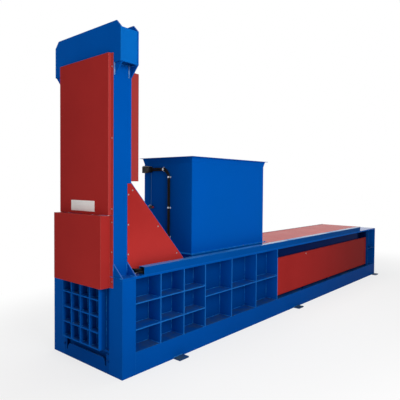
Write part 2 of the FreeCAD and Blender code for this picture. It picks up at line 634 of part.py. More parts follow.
def rear_cover():
    """Tray over the gate cylinder at the back of the tower, open to the front."""
    x0, x1 = TOWER_DEPTH, TOWER_DEPTH + REAR_COVER_DEPTH
    half = COLUMN_FACE - COVER_FLANGE_EDGE
    outer = block(x0, x1, -half, half, REAR_COVER_BOTTOM, REAR_COVER_TOP)
    return outer.cut(block(x0, x1 - SHEET, SHEET - half, half - SHEET,
                           REAR_COVER_BOTTOM + SHEET, REAR_COVER_TOP - SHEET))


def side_panel():
    """Removable folded panel beside the main cylinder."""
    x0 = MIDDLE_RIBS[-1] + RIB_PLATE / 2 + SHEET
    x1 = REAR_RIB - RIB_PLATE / 2 - PANEL_END_GAP
    y0, y1 = near_y(PANEL_RECESS), near_y(PANEL_RECESS + PANEL_RETURN)
    outer = block(x0, x1, y0, y1, PANEL_BOTTOM, PANEL_TOP)
    return outer.cut(block(x0 + SHEET, x1 - SHEET, y0 + SHEET, y1,
                           PANEL_BOTTOM + SHEET, PANEL_TOP - SHEET))


def cylinder_covers():
    """Row of inverted trays that close the cylinder compartment."""
    pitch = (TRAY_END - TRAY_START + TRAY_JOINT) / TRAY_COUNT
    trays = []
    for i in range(TRAY_COUNT):
        x0 = TRAY_START + i * pitch
        x1 = x0 + pitch - TRAY_JOINT
        outer = block(x0, x1, TRAY_NEAR, TRAY_FAR, DECK_TOP, DECK_TOP + TRAY_HEIGHT)
        trays.append(outer.cut(block(x0 + SHEET, x1 - SHEET, TRAY_NEAR + SHEET, TRAY_FAR - SHEET,
                                     DECK_TOP, DECK_TOP + TRAY_HEIGHT - SHEET)))
    return trays


# ---------------------------------------------------------------- hopper
def collar(outer, inner, z, height):
    """Rectangular ring round the hopper's middle; sizes are length and width."""
    def slab(size):
        length, width = size
        return block(HOPPER_MIDDLE - length / 2, HOPPER_MIDDLE + length / 2,
                     -width / 2, width / 2, z, z + height)
    return slab(outer).cut(slab(inner))


def bin_outline(middle, size, flange):
    """Upright outline of the bin: wall, flare and a level flange round its top."""
    wall, lip = size / 2, size / 2 + RIM_FLARE
    top = HOPPER_SHOULDER + RIM_RISE
    half = [(wall, THROAT_TOP), (wall, HOPPER_SHOULDER), (lip, top - HOPPER_SHEET)]
    if flange:
        half.append((lip + flange, top - HOPPER_SHEET))
    half.append((lip + flange, top))
    other = [(-across, z) for across, z in reversed(half)]
    return [(middle + across, z) for across, z in half + other]


def hopper_body(inset, flange):
    """Bin with mitred corners: the side outline crossed with the end outline."""
    length, width = HOPPER_LENGTH - 2 * inset, HOPPER_WIDTH - 2 * inset
    reach = RIM_FLARE + flange + width
    side = prism(bin_outline(HOPPER_MIDDLE, length, flange), "y", -reach, 2 * reach)
    reach = RIM_FLARE + flange + length
    end = prism(bin_outline(0, width, flange), "x", HOPPER_MIDDLE - reach, 2 * reach)
    return side.common(end)


def hopper():
    shell = hopper_body(0, RIM_FLANGE).cut(hopper_body(HOPPER_SHEET, 0))
    outer = (HOPPER_LENGTH + 2 * FOOT_FLANGE, HOPPER_WIDTH + 2 * FOOT_FLANGE)
    inner = (HOPPER_LENGTH - 2 * HOPPER_SHEET, HOPPER_WIDTH - 2 * HOPPER_SHEET)
    return fused([shell, collar(outer, inner, THROAT_TOP, HOPPER_SHEET)])


def feed_throat():
    """Upright collar round the feed opening, with an outward top flange."""
    opening = (HOPPER_LENGTH - 2 * THROAT_PLATE, 2 * CHAMBER_HALF)
    return collar((HOPPER_LENGTH, HOPPER_WIDTH), opening, DECK_TOP, THROAT_HEIGHT)


# ---------------------------------------------------------------- gate
def gate():
    """Lift gate: sliding plate with welded cells on its front."""
    half_plate = GROOVE_HALF - GATE_SIDE_PLAY
    parts = [block(GATE_X0, GATE_X1, -half_plate, half_plate, GATE_BOTTOM, GATE_PLATE_TOP)]
    half, depth = GATE_CELLS_WIDTH / 2, -GATE_CELLS_FRONT
    pitch_y = (GATE_CELLS_WIDTH - RIB_PLATE) / GATE_COLUMNS
    pitch_z = (GATE_CELLS_TOP - GATE_BOTTOM - RIB_PLATE) / GATE_ROWS
    for i in range(GATE_COLUMNS + 1):
        y = -half + i * pitch_y
        parts.append(block(depth, GATE_X0, y, y + RIB_PLATE, GATE_BOTTOM, GATE_CELLS_TOP))
    for i in range(GATE_ROWS + 1):
        z = GATE_BOTTOM + i * pitch_z
        parts.append(block(depth, GATE_X0, -half, half, z, z + RIB_PLATE))
    return fused(parts)


def gate_lug():
    reach = GATE_AXIS_X + EYE_RADIUS
    pad = block(GATE_X0, reach, -EYE_WIDTH - CHEEK_PLATE, EYE_WIDTH + CHEEK_PLATE,
                GATE_PLATE_TOP, GATE_PLATE_TOP + LUG_PAD)
    return fused([pad] + cheeks(GATE_PIN_Z, GATE_PLATE_TOP + LUG_PAD))


def cross_pin(z):
    """Headed pin through a pair of cheeks, with a keeper bar across its far end."""
    reach = EYE_WIDTH / 2 + CHEEK_PLAY + CHEEK_PLATE
    length, width, thick = KEEPER
    pin = rod(V(GATE_AXIS_X, -reach, z), V(0, 1, 0), PIN_DIAMETER, 2 * reach)
    head = rod(V(GATE_AXIS_X, -reach - thick, z), V(0, 1, 0), PIN_HEAD, thick)
    keeper = block(GATE_AXIS_X - length / 2, GATE_AXIS_X + length / 2, reach, reach + thick,
                   z - width / 2, z + width / 2)
    return fused([pin, head, keeper])


def eye(z):
    """Rounded cylinder eye with its pin hole."""
    start = V(GATE_AXIS_X, -EYE_WIDTH / 2, z)
    return (rod(start, V(0, 1, 0), 2 * EYE_RADIUS, EYE_WIDTH),
            rod(start, V(0, 1, 0), PIN_DIAMETER + 2 * PIN_PLAY, EYE_WIDTH))


def gate_cylinder():
    """Barrel hung from the crossbeam and the parts that move with the gate."""
    up, axis = V(0, 0, 1), lambda z: V(GATE_AXIS_X, 0, z)
    outside, bore = GATE_BARREL
    length = GATE_BARREL_TOP - GATE_BARREL_BOTTOM
    barrel = rod(axis(GATE_BARREL_BOTTOM), up, outside, length)
    barrel = barrel.cut(rod(axis(GATE_BARREL_BOTTOM), up, bore, length - GATE_CAP))
    top_eye, top_hole = eye(HANGER_PIN_Z)
    neck = block(GATE_AXIS_X - EYE_RADIUS, GATE_AXIS_X + EYE_RADIUS, -EYE_WIDTH / 2, EYE_WIDTH / 2,
                 GATE_BARREL_TOP - GATE_CAP / 2, HANGER_PIN_Z)
    export("gate_barrel", fused([barrel, neck, top_eye]).cut(top_hole))

    gland_z = GATE_BARREL_BOTTOM - GATE_GLAND[1]
    rod_way = GATE_ROD + 2 * ROD_PLAY
    export("gate_gland", tube(axis(gland_z), up, GATE_GLAND[0], rod_way, GATE_GLAND[1]))
    piston_z = GATE_BARREL_BOTTOM + GATE_PISTON_RISE
    export("gate_piston", tube(axis(piston_z), up, bore - 2 * ROD_PLAY, GATE_SPIGOT, GATE_PISTON))

    low_eye, low_hole = eye(GATE_PIN_Z)
    shoulder = GATE_PIN_Z + EYE_RADIUS + EYE_SHOULDER
    fork = block(GATE_AXIS_X - EYE_RADIUS, GATE_AXIS_X + EYE_RADIUS, -EYE_WIDTH / 2, EYE_WIDTH / 2,
                 GATE_PIN_Z, shoulder)
    shaft = rod(axis(shoulder), up, GATE_ROD, piston_z - shoulder)
    tip = rod(axis(piston_z), up, GATE_SPIGOT, GATE_PISTON)
    export("gate_rod", fused([low_eye, fork, shaft, tip]).cut(low_hole))


# ---------------------------------------------------------------- ram
def ram():
    """Press ram: platen, box and the long top plate that shuts the feed opening."""
    front, rear = RAM_FRONT + PLATEN_PLATE, RAM_REAR
    roof = RAM_TOP - RAM_TOP_PLATE
    floor = RAM_BOTTOM + RAM_PLATE
    parts = [block(RAM_FRONT, front, -RAM_HALF, RAM_HALF, RAM_BOTTOM, RAM_TOP),
             block(front, rear, -RAM_HALF, RAM_HALF, RAM_BOTTOM, floor),
             block(front, RAM_TAIL_END, -RAM_HALF, RAM_HALF, roof, RAM_TOP)]
    for y in (-RAM_HALF, RAM_HALF - RAM_PLATE):
        parts.append(block(front, rear, y, y + RAM_PLATE, floor, roof))
    for y in (-SHOE_OFFSET, SHOE_OFFSET):
        parts.append(block(front, rear, y - RAM_PLATE / 2, y + RAM_PLATE / 2, floor, roof))
        parts.append(prism([(rear, roof), (RAM_TAIL_END, roof), (RAM_TAIL_END, roof - TAIL_FIN[1]),
                            (rear, roof - TAIL_FIN[0])], "y", y - RAM_PLATE / 2, RAM_PLATE))
    parts.append(rod(V(front, 0, MAIN_AXIS_Z), V(1, 0, 0), ROD_FLANGE[0], 2 * ROD_FLANGE[1]))
    for z in (MAIN_AXIS_Z - ROD_FLANGE[0] / 2, MAIN_AXIS_Z + ROD_FLANGE[0] / 2 - RAM_PLATE):
        parts.append(block(front, front + 2 * ROD_FLANGE[1], -RAM_HALF, RAM_HALF, z, z + RAM_PLATE))
    return fused(parts)


def ram_shoes():
    x0, x1 = RAM_FRONT + PLATEN_PLATE, RAM_REAR
    return [block(x0, x1, y - SHOE_WIDTH / 2, y + SHOE_WIDTH / 2, RAM_BOTTOM - SHOE_HEIGHT, RAM_BOTTOM)
            for y in (-SHOE_OFFSET, SHOE_OFFSET)]


def ram_knife():
    """Bevelled blade bar along the platen's upper edge."""
    thick, depth = KNIFE_BAR
    face, foot = RAM_FRONT - thick, RAM_TOP - depth
    outline = [(RAM_FRONT, RAM_TOP), (RAM_FRONT, foot), (RAM_FRONT - thick / 2, foot),
               (face, foot + thick), (face, RAM_TOP)]
    return prism(outline, "y", -RAM_HALF, 2 * RAM_HALF)


def main_cylinder():
    """Barrel, gland, piston and rod of the press cylinder, bolted at its rear."""
    back, axis = V(1, 0, 0), lambda x: V(x, 0, MAIN_AXIS_Z)
    outside, bore = MAIN_BARREL
    cap = MAIN_FLANGE[1]
    barrel = rod(axis(BARREL_FRONT), back, outside, MAIN_BACK - BARREL_FRONT)
    barrel = barrel.fuse(rod(axis(MAIN_BACK - cap), back, MAIN_FLANGE[0], cap))
    side, height = MAIN_PORT
    for x in (BARREL_FRONT + side, MAIN_BACK - cap - side):
        barrel = barrel.fuse(block(x - side / 2, x + side / 2, -side / 2, side / 2,
                                   MAIN_AXIS_Z, MAIN_AXIS_Z + outside / 2 + height))
    hollow = rod(axis(BARREL_FRONT), back, bore, MAIN_BACK - cap - BARREL_FRONT)
    export("main_barrel", barrel.cut(hollow))
    gland_size, gland_length = MAIN_GLAND
    rod_way = MAIN_ROD + 2 * ROD_PLAY
    export("main_gland", tube(axis(GLAND_FRONT), back, gland_size, rod_way, gland_length))

    piston_x = MAIN_BACK - cap - PISTON_BACK - MAIN_PISTON
    export("main_piston", tube(axis(piston_x), back, bore - 2 * ROD_PLAY, MAIN_SPIGOT, MAIN_PISTON))
    flange_x = RAM_FRONT + PLATEN_PLATE + 2 * ROD_FLANGE[1]
    export("main_rod", fused([rod(axis(flange_x), back, ROD_FLANGE[0], ROD_FLANGE[1]),
                              rod(axis(flange_x), back, MAIN_ROD, piston_x - flange_x),
                              rod(axis(piston_x), back, MAIN_SPIGOT, MAIN_PISTON)]))


def thrust_crosshead():
    """Thick plate that takes the cylinder's thrust, with raking ribs behind it."""
    x0, x1 = MAIN_BACK, MAIN_BACK + CROSSHEAD
    parts = [block(x0, x1, -CHAMBER_HALF, CHAMBER_HALF, FLOOR_TOP, DECK_UNDER)]
    reach = INNER_END - x1
    outline = [(x1, FLOOR_TOP), (x1 + reach, FLOOR_TOP), (x1 + reach, FLOOR_TOP + CROSSHEAD_RIB_LOW),
               (x1, DECK_UNDER - CROSSHEAD_RIB_DROP)]
    for y in (-CROSSHEAD_RIB_SPREAD, -SHOE_OFFSET / 2, SHOE_OFFSET / 2, CROSSHEAD_RIB_SPREAD):
        parts.append(prism(outline, "y", y - RAM_PLATE / 2, RAM_PLATE))
    return fused(parts)


def cylinder_saddle():
    """Cradle plate under the barrel, with feet on the floor."""
    radius = MAIN_BARREL[0] / 2
    x0, x1 = SADDLE_STATION, SADDLE_STATION + SADDLE_PLATE
    half, top = radius + SADDLE_FOOT, MAIN_AXIS_Z - SADDLE_TOP
    foot_half = half + SADDLE_FOOT
    outline = [(-foot_half, FLOOR_TOP), (foot_half, FLOOR_TOP), (half, top), (-half, top)]
    cradle = prism(outline, "x", x0, SADDLE_PLATE)
    cradle = cradle.cut(rod(V(x0, 0, MAIN_AXIS_Z), V(1, 0, 0), 2 * (radius + ROD_PLAY), SADDLE_PLATE))
    foot = block(x0 - SADDLE_FOOT, x1 + SADDLE_FOOT, -foot_half, foot_half,
                 FLOOR_TOP, FLOOR_TOP + RIB_PLATE)
    return fused([cradle, foot])


# ---------------------------------------------------------------- rear end
def rear_plate():
    width, height = ACCESS_OPENING
    x0, x1 = INNER_END, BODY_LENGTH - SHEET
    plate = block(x0, x1, -HALF_WIDTH, HALF_WIDTH, 0, DECK_UNDER)
    return plate.cut(block(x0, x1, -width / 2, width / 2,
                           MAIN_AXIS_Z - height / 2, MAIN_AXIS_Z + height / 2))


def access_cover():
    width, height = (size + 2 * ACCESS_LAP for size in ACCESS_OPENING)
    return block(BODY_LENGTH - SHEET, BODY_LENGTH, -width / 2, width / 2,
                 MAIN_AXIS_Z - height / 2, MAIN_AXIS_Z + height / 2)


# ---------------------------------------------------------------- small parts
def anchor_plates():
    length, reach, thick = ANCHOR_PLATE
    plates = []
    for x in ANCHOR_STATIONS + (BODY_LENGTH - ANCHOR_END_GAP,):
        plate = block(x - length / 2, x + length / 2, near_y(-reach), near_y(0), 0, thick)
        plate = plate.cut(rod(V(x, near_y(-reach / 2), 0), V(0, 0, 1), ANCHOR_HOLE, thick))
        plates += [plate, mirrored(plate)]
    return plates


def hexagon_head(centre, direction):
    """Six-sided screw head standing on a face at the centre point."""
    flats, height = SCREW_HEAD
    turn = FreeCAD.Rotation(V(0, 0, 1), direction)
    radius = flats / math.sqrt(3)
    turns = [math.radians(60 * i) for i in range(6)]
    corners = [centre + turn.multVec(V(radius * math.cos(t), radius * math.sin(t), 0)) for t in turns]
    return Part.Face(Part.makePolygon(corners + corners[:1])).extrude(direction * height)


def spread(first, last, count):
    """Evenly spaced values from first to last."""
    return [first + (last - first) * i / (count - 1) for i in range(count)]


def cover_screws():
    """Screws of the front covers, side guards, rear cover and side panels."""
    heads = []
    flange_y = (COLUMN_FACE - COVER_FLANGE_EDGE + UPPER_COVER_WIDTH / 2) / 2
    rows = spread(LOWER_COVER_BOTTOM + SCREW_END, LOWER_COVER_TOP - SCREW_END, 3)
    rows += spread(LOWER_COVER_TOP + COVER_JOINT + SCREW_END, UPPER_COVER_TOP - SCREW_TOP, 3)
    heads += [hexagon_head(V(-SHEET, -flange_y, z), V(-1, 0, 0)) for z in rows]
    guard_y = -COLUMN_FACE - SHEET
    lap_x = TOWER_DEPTH - GUARD_LAP + GUARD_SCREW_EDGE
    heads += [hexagon_head(V(lap_x, guard_y, z), V(0, -1, 0))
              for z in spread(DECK_TOP + GUARD_SCREW_ENDS[0], BRACE_TOP - GUARD_SCREW_ENDS[1], 3)]
    top, foot = brace_outline(GUARD_SCREW_TRIM, 0)[:2]
    for share in GUARD_SCREW_SHARES:
        place = V(top[0] + (foot[0] - top[0]) * share, guard_y, top[1] + (foot[1] - top[1]) * share)
        heads.append(hexagon_head(place, V(0, -1, 0)))
    return heads + [mirrored(head) for head in heads]


def section(centre, direction, level, diameter):
    """Many-sided cross-section of a hose; level is square to the hose's plane."""
    across = direction.cross(level)
    turns = [2 * math.pi * (i + 0.5) / HOSE_SIDES for i in range(HOSE_SIDES)]
    corners = [centre + (level * math.cos(t) + across * math.sin(t)) * (diameter / 2) for t in turns]
    return Part.Face(Part.makePolygon(corners + corners[:1]))


def hose(points, diameter, radius, level):
    """Hose in one plane: straight runs joined by tangent bends of one radius."""
    pieces, start = [], points[0]
    for before, corner, after in zip(points, points[1:], points[2:]):
        back, ahead = (before - corner).normalize(), (after - corner).normalize()
        half = back.getAngle(ahead) / 2
        trim, reach = radius / math.tan(half), radius / math.sin(half)
        bend_start = corner + back * trim
        pieces.append(section(start, back, level, diameter).extrude(bend_start - start))
        centre = corner + (back + ahead).normalize() * reach
        axis = (bend_start - centre).cross(back * -1).normalize()
        bend = section(bend_start, back, level, diameter)
        pieces.append(bend.revolve(centre, axis, 180 - math.degrees(2 * half)))
        start = corner + ahead * trim
    end = points[-1]
    pieces.append(section(start, (start - end).normalize(), level, diameter).extrude(end - start))
    return fused(pieces)


def fill_sensors():
    """Upper and lower photo-electric housings on the hopper's front wall."""
    wall = HOPPER_START

    def housing(size, side, z):
        depth, width, height = size
        return block(wall - depth, wall, side, side + width, z - height / 2, z + height / 2)
    upper = housing(SENSOR, SENSOR_SIDE, SENSOR_Z)
    upper = upper.makeFillet(SENSOR_CORNER, [e for e in upper.Edges if along_x(e)])
    lower = housing(LOWER_SENSOR, LOWER_SENSOR_SIDE, LOWER_SENSOR_Z)
    bracket = housing(SENSOR_BRACKET, LOWER_SENSOR_SIDE + LOWER_SENSOR[1], LOWER_SENSOR_Z)
    return [upper, fused([lower, bracket])]


def conduit_route(outward):
    """Corners of a conduit down the front wall, moved outward from the pair's middle."""
    knee_y, fall = CONDUIT_KNEE
    slope = math.atan2(fall, knee_y - CONDUIT_SIDE)
    first = outward * math.tan(slope / 2)
    second = outward * math.tan((math.pi / 2 - slope) / 2)
    return [V(CONDUIT_X, SENSOR_SIDE, SENSOR_Z + outward),
            V(CONDUIT_X, knee_y - first, SENSOR_Z + outward),
            V(CONDUIT_X, CONDUIT_SIDE - outward, SENSOR_Z - fall + second),
            V(CONDUIT_X, CONDUIT_SIDE - outward, THROAT_TOP + HOPPER_SHEET)]


def sensor_conduit():
    """Two conduits side by side, and the lower sensor's lead up to the upper housing."""
    along_wall = V(1, 0, 0)
    pair = [hose(conduit_route(outward), CONDUIT, CONDUIT_BEND + outward, along_wall)
            for outward in (-CONDUIT_PITCH / 2, CONDUIT_PITCH / 2)]
    low = V(HOPPER_START - SENSOR_LEAD, LEAD_SIDE, LOWER_SENSOR_Z + LOWER_SENSOR[2] / 2)
    lead = section(low, V(0, 0, 1), along_wall, SENSOR_LEAD)
    return pair + [lead.extrude(V(0, 0, SENSOR_Z - SENSOR[2] / 2 - low.z))]


def conduit_clips():
    """Flat saddle clips that hold the pair of conduits to the hopper."""
    gap = CONDUIT_STANDOFF + CONDUIT + CLIP_PLAY
    inner = (CONDUIT_PITCH + CONDUIT) / 2 + CLIP_PLAY
    outer = inner + CLIP_EDGE
    wall, half = HOPPER_START, CLIP_WIDTH / 2
    places = [(CLIP_SIDE, SENSOR_Z, True)]
    places += [(CONDUIT_SIDE, SENSOR_Z - drop, False) for drop in CLIP_DROPS]
    clips = []
    for y, z, level in places:
        dy, dz = (half, outer) if level else (outer, half)
        ey, ez = (half, inner) if level else (inner, half)
        strap = block(wall - gap - CLIP_EDGE, wall, y - dy, y + dy, z - dz, z + dz)
        clips.append(strap.cut(block(wall - gap, wall, y - ey, y + ey, z - ez, z + ez)))
    return clips


def duct_hoses():
    """Hoses that run along the duct, leave its open end and enter the side guard."""
    guard = -COLUMN_FACE - SHEET
    middle = near_y(DUCT_SIZE / 2)
    hoses = []
    for dy, dz in HOSE_PLACES:
        y, z = middle + dy, DECK_TOP + DUCT_SIZE / 2 + dz
        x_turn = TOWER_DEPTH + HOSE_TURN - dy
        points = [V(DUCT_X1 - SHEET, y, z), V(x_turn, y, z), V(x_turn, guard, z)]
        hoses.append(hose(points, HOSE, HOSE_BEND, V(0, 0, 1)))
    return hoses


# ---------------------------------------------------------------- all nodes
def main():
    os.makedirs("parts", exist_ok=True)
    export_pair("base_beam", base_beam())
    export("floor_crossmembers", floor_crossmembers())
    export("chamber_floor", chamber_floor())
    export("wear_strips", wear_strips())
    export_pair("press_wall", press_wall())
    export_pair("rear_wall", rear_wall())
    export_pair("post", corner_post())
    export("front_sill", front_sill())
    export("front_lintel", front_lintel())
    export("deck_front", deck_front())
    export("deck_strips", deck_strips())
    export("deck_cross_plates", deck_cross_plates())
    export("fixed_knife", fixed_knife())
    export("side_duct", side_duct())
    export_pair("column", column())
    export_pair("brace", brace())
    export("gate_guides", [gate_guide(), mirrored(gate_guide())])
    export("crossbeam", crossbeam())
    front_covers()
    export("rear_cover", rear_cover())
    export_pair("side_guard", side_guard())
    export_pair("side_panel", side_panel())
    export("cylinder_covers", cylinder_covers())
    export("hopper", hopper())
    export("feed_throat", feed_throat())
    export("gate", gate())
    export("gate_lug", gate_lug())
    export("gate_pin", cross_pin(GATE_PIN_Z))
    export("hanger_pin", cross_pin(HANGER_PIN_Z))
    gate_cylinder()
    export("ram", ram())
    export("ram_shoes", ram_shoes())
    export("ram_knife", ram_knife())
    main_cylinder()
    export("thrust_crosshead", thrust_crosshead())
    export("cylinder_saddle", cylinder_saddle())
    export("rear_plate", rear_plate())
    export("access_cover", access_cover())
    export("anchor_plates", anchor_plates())
    export("cover_screws", cover_screws())
    export("fill_sensors", fill_sensors())
    export("sensor_conduit", sensor_conduit())
    export("conduit_clips", conduit_clips())
    export("duct_hoses", duct_hoses())


main()
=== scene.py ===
import math
import random

import bmesh
import bpy
from mathutils import Matrix, Vector


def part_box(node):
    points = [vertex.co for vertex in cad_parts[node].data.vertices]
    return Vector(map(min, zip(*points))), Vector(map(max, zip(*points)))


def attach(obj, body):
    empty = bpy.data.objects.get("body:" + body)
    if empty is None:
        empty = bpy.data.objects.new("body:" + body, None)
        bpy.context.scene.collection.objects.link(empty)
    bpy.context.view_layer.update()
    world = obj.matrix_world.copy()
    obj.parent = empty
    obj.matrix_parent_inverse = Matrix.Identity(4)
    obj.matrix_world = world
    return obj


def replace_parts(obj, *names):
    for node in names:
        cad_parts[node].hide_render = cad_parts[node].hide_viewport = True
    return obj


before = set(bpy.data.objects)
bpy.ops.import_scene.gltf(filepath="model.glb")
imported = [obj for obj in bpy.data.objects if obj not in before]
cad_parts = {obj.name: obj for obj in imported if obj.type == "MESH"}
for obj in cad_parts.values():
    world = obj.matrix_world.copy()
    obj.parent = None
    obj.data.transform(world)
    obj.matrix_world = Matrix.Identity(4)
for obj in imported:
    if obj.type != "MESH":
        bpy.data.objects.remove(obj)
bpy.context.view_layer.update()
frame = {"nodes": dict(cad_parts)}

NODES = frame["nodes"]


# ---------------- stations
def low(node):
    """A node's lowest corner."""
    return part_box(node)[0]


def high(node):
    """A node's highest corner."""
    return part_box(node)[1]


FORWARD, REARWARD = (-1, 0, 0), (1, 0, 0)
NEAR, UP, DOWN = (0, -1, 0), (0, 0, 1), (0, 0, -1)
SIDES = (-1, 1)  # near and far long sides
RIB = 0.016  # thickness of ribs, shelves and gussets
SHEET = 0.004  # thickness of covers and guards
HOPPER_SHEET = 0.006

# along X
FRONT = low("near_post").x  # front plane of the posts
POST_REAR = high("near_post").x
TOWER_REAR = high("near_column").x
REAR_GUSSET = TOWER_REAR - 0.052  # its rear face
GUSSET_FACES = (FRONT, FRONT + RIB, REAR_GUSSET - RIB, REAR_GUSSET)
FRONT_RIBS = [FRONT + x for x in (0.651, 1.103, 1.567)]  # middles of the ribs
MIDDLE_RIBS = [FRONT + x for x in (2.225, 2.926, 3.627)]
REAR_RIB = FRONT + 8.219
REAR_END = low("rear_plate").x
GATE_MOUTH = low("gate").x + 0.010  # front edges of the gate's cells
HOPPER_FRONT = low("feed_throat").x
HOPPER_REAR = high("feed_throat").x

# across, from the middle
HALF_WIDTH = high("far_post").y
COLUMN_FACE = high("far_brace").y  # outer faces of the tower's columns
CHAMBER_HALF = high("chamber_floor").y
WALL_FACE = CHAMBER_HALF + 0.020  # back of the walls' cells
GATE_CELLS_HALF = CHAMBER_HALF - 0.089
BEAM_END = high("crossbeam").y
HOPPER_HALF = high("feed_throat").y

# heights
BASE_TOP = high("near_base_beam").z
FRONT_SHELVES = (0.556, 0.885)  # undersides
MIDDLE_SHELF = 0.720
DECK_UNDER = low("deck_front").z
DECK_TOP = high("deck_front").z
GATE_CELLS_TOP = DECK_TOP - 0.095
HOPPER_FOOT = high("feed_throat").z
HOPPER_SHOULDER = HOPPER_FOOT + 1.374  # where the rim flares out
COLUMN_TOP = high("near_column").z


# ---------------- materials
class Value:
    """One socket's number, with arithmetic that adds the nodes it needs."""

    def __init__(self, nodes, socket):
        self.nodes = nodes
        self.socket = socket

    def worked(self, operation, *terms):
        return self.nodes.add("ShaderNodeMath", {"operation": operation}, dict(enumerate(terms)))

    def __add__(self, other):
        return self.worked("ADD", self, other)

    def __sub__(self, other):
        return self.worked("SUBTRACT", self, other)

    def __rsub__(self, other):
        return self.worked("SUBTRACT", other, self)

    def __mul__(self, other):
        return self.worked("MULTIPLY", self, other)

    __radd__ = __add__
    __rmul__ = __mul__

    def size(self):
        return self.worked("ABSOLUTE", self)

    def most(self, other):
        return self.worked("MAXIMUM", self, other)

    def clipped(self):
        return self.nodes.add("ShaderNodeClamp", {}, {"Value": self})

    def between(self, start, end):
        """0 before start, 1 past end, smooth in between; start may be the larger."""
        return self.nodes.add("ShaderNodeMapRange", {"interpolation_type": "SMOOTHSTEP"},
                              {"Value": self, "From Min": start, "From Max": end})


class Nodes:
    """A node tree under construction."""

    def __init__(self, tree):
        self.tree = tree

    def add(self, kind, settings, values, output=0):
        """A node of a kind: its settings first, then its sockets' values or links."""
        node = self.tree.nodes.new(kind)
        for name, setting in settings.items():
            setattr(node, name, setting)
        for socket, value in values.items():
            self.feed(node.inputs[socket], value)
        return Value(self, node.outputs[output])

    def feed(self, socket, value):
        """Link a socket to another node's value, or set it."""
        if isinstance(value, Value):
            self.tree.links.new(value.socket, socket)
        else:
            socket.default_value = value

    def open_view(self):
        """1 on what the camera, a mirror or glass shows directly, 0 for the light it gives."""
        camera, mirror, glass = [self.add("ShaderNodeLightPath", {}, {}, "Is %s Ray" % ray)
                                 for ray in ("Camera", "Glossy", "Transmission")]
        return camera.most(mirror).most(glass)


class Finish(Nodes):
    """A material under construction, around its Principled shader."""

    def __init__(self, name, **constants):
        self.material = bpy.data.materials.new(name)
        self.material.use_nodes = True
        super().__init__(self.material.node_tree)
        self.shader = self.tree.nodes["Principled BSDF"]
        for socket, constant in constants.items():
            self.set(socket.replace("_", " "), constant)

    def set(self, socket, value):
        self.feed(self.shader.inputs[socket], value)

    def place(self, scale=(1, 1, 1)):
        point = self.add("ShaderNodeTexCoord", {}, {}, "Object")
        return self.add("ShaderNodeMapping", {}, {"Vector": point, "Scale": scale})

    def noise(self, scale, detail, rough, stretch=(1, 1, 1)):
        return self.add("ShaderNodeTexNoise", {}, {"Vector": self.place(stretch), "Scale": scale,
                                                   "Detail": detail, "Roughness": rough})

    def part(self, vector, axis):
        return self.add("ShaderNodeSeparateXYZ", {}, {"Vector": vector}, axis)

    def facing(self):
        return self.add("ShaderNodeNewGeometry", {}, {}, "True Normal")

    def dot(self, first, second):
        return self.add("ShaderNodeVectorMath", {"operation": "DOT_PRODUCT"},
                        {0: first, 1: second}, "Value")

    def reach(self, kind):
        """One number: a place along X, Y or Z, how far out to the side, or which way a face looks."""
        if kind == "up":
            return self.part(self.facing(), "Z")
        if kind == "rearward":
            return self.part(self.facing(), "X")
        if kind == "side":
            return self.part(self.place(), "Y").size()
        if kind == "out of hopper":
            middle = ((HOPPER_FRONT + HOPPER_REAR) / 2, 0, 0)
            from_middle = self.add("ShaderNodeVectorMath", {"operation": "SUBTRACT"},
                                   {0: self.place((1, 1, 0)), 1: middle})
            return self.dot(self.facing(), from_middle)
        return self.part(self.place(), kind)

    def upward(self, start=0.55, end=0.95):
        """1 on faces that look up, 0 on walls and undersides."""
        return self.reach("up").between(start, end)

    def soft_edge(self, radius):
        """A normal that looks rounded along the edges."""
        return self.add("ShaderNodeBevel", {"samples": 6}, {"Radius": radius})

    def edges(self, radius):
        """1 along edges, 0 on flat faces."""
        return (1 - self.dot(self.facing(), self.soft_edge(radius))).between(0.02, 0.25)

    def blend(self, share, first, second):
        """The first colour, changing to the second as the share goes from 0 to 1."""
        return self.add("ShaderNodeMix", {"data_type": "RGBA"}, {0: share, 6: first, 7: second}, 2)

    def relief(self, height, strength, distance, under=None):
        values = {"Height": height, "Strength": strength, "Distance": distance}
        if under is not None:
            values["Normal"] = under
        return self.add("ShaderNodeBump", {}, values)


DUST = (0.055, 0.095, 0.11, 1)
PRIMER = (0.12, 0.10, 0.09, 1)
SCOURED = (0.30, 0.29, 0.28, 1)
RUST = (0.13, 0.06, 0.035, 1)
ENAMEL_GLOSS = {"IOR": 1.45, "Specular_IOR_Level": 0.005, "Coat_Roughness": 0.22, "Coat_IOR": 1.5}


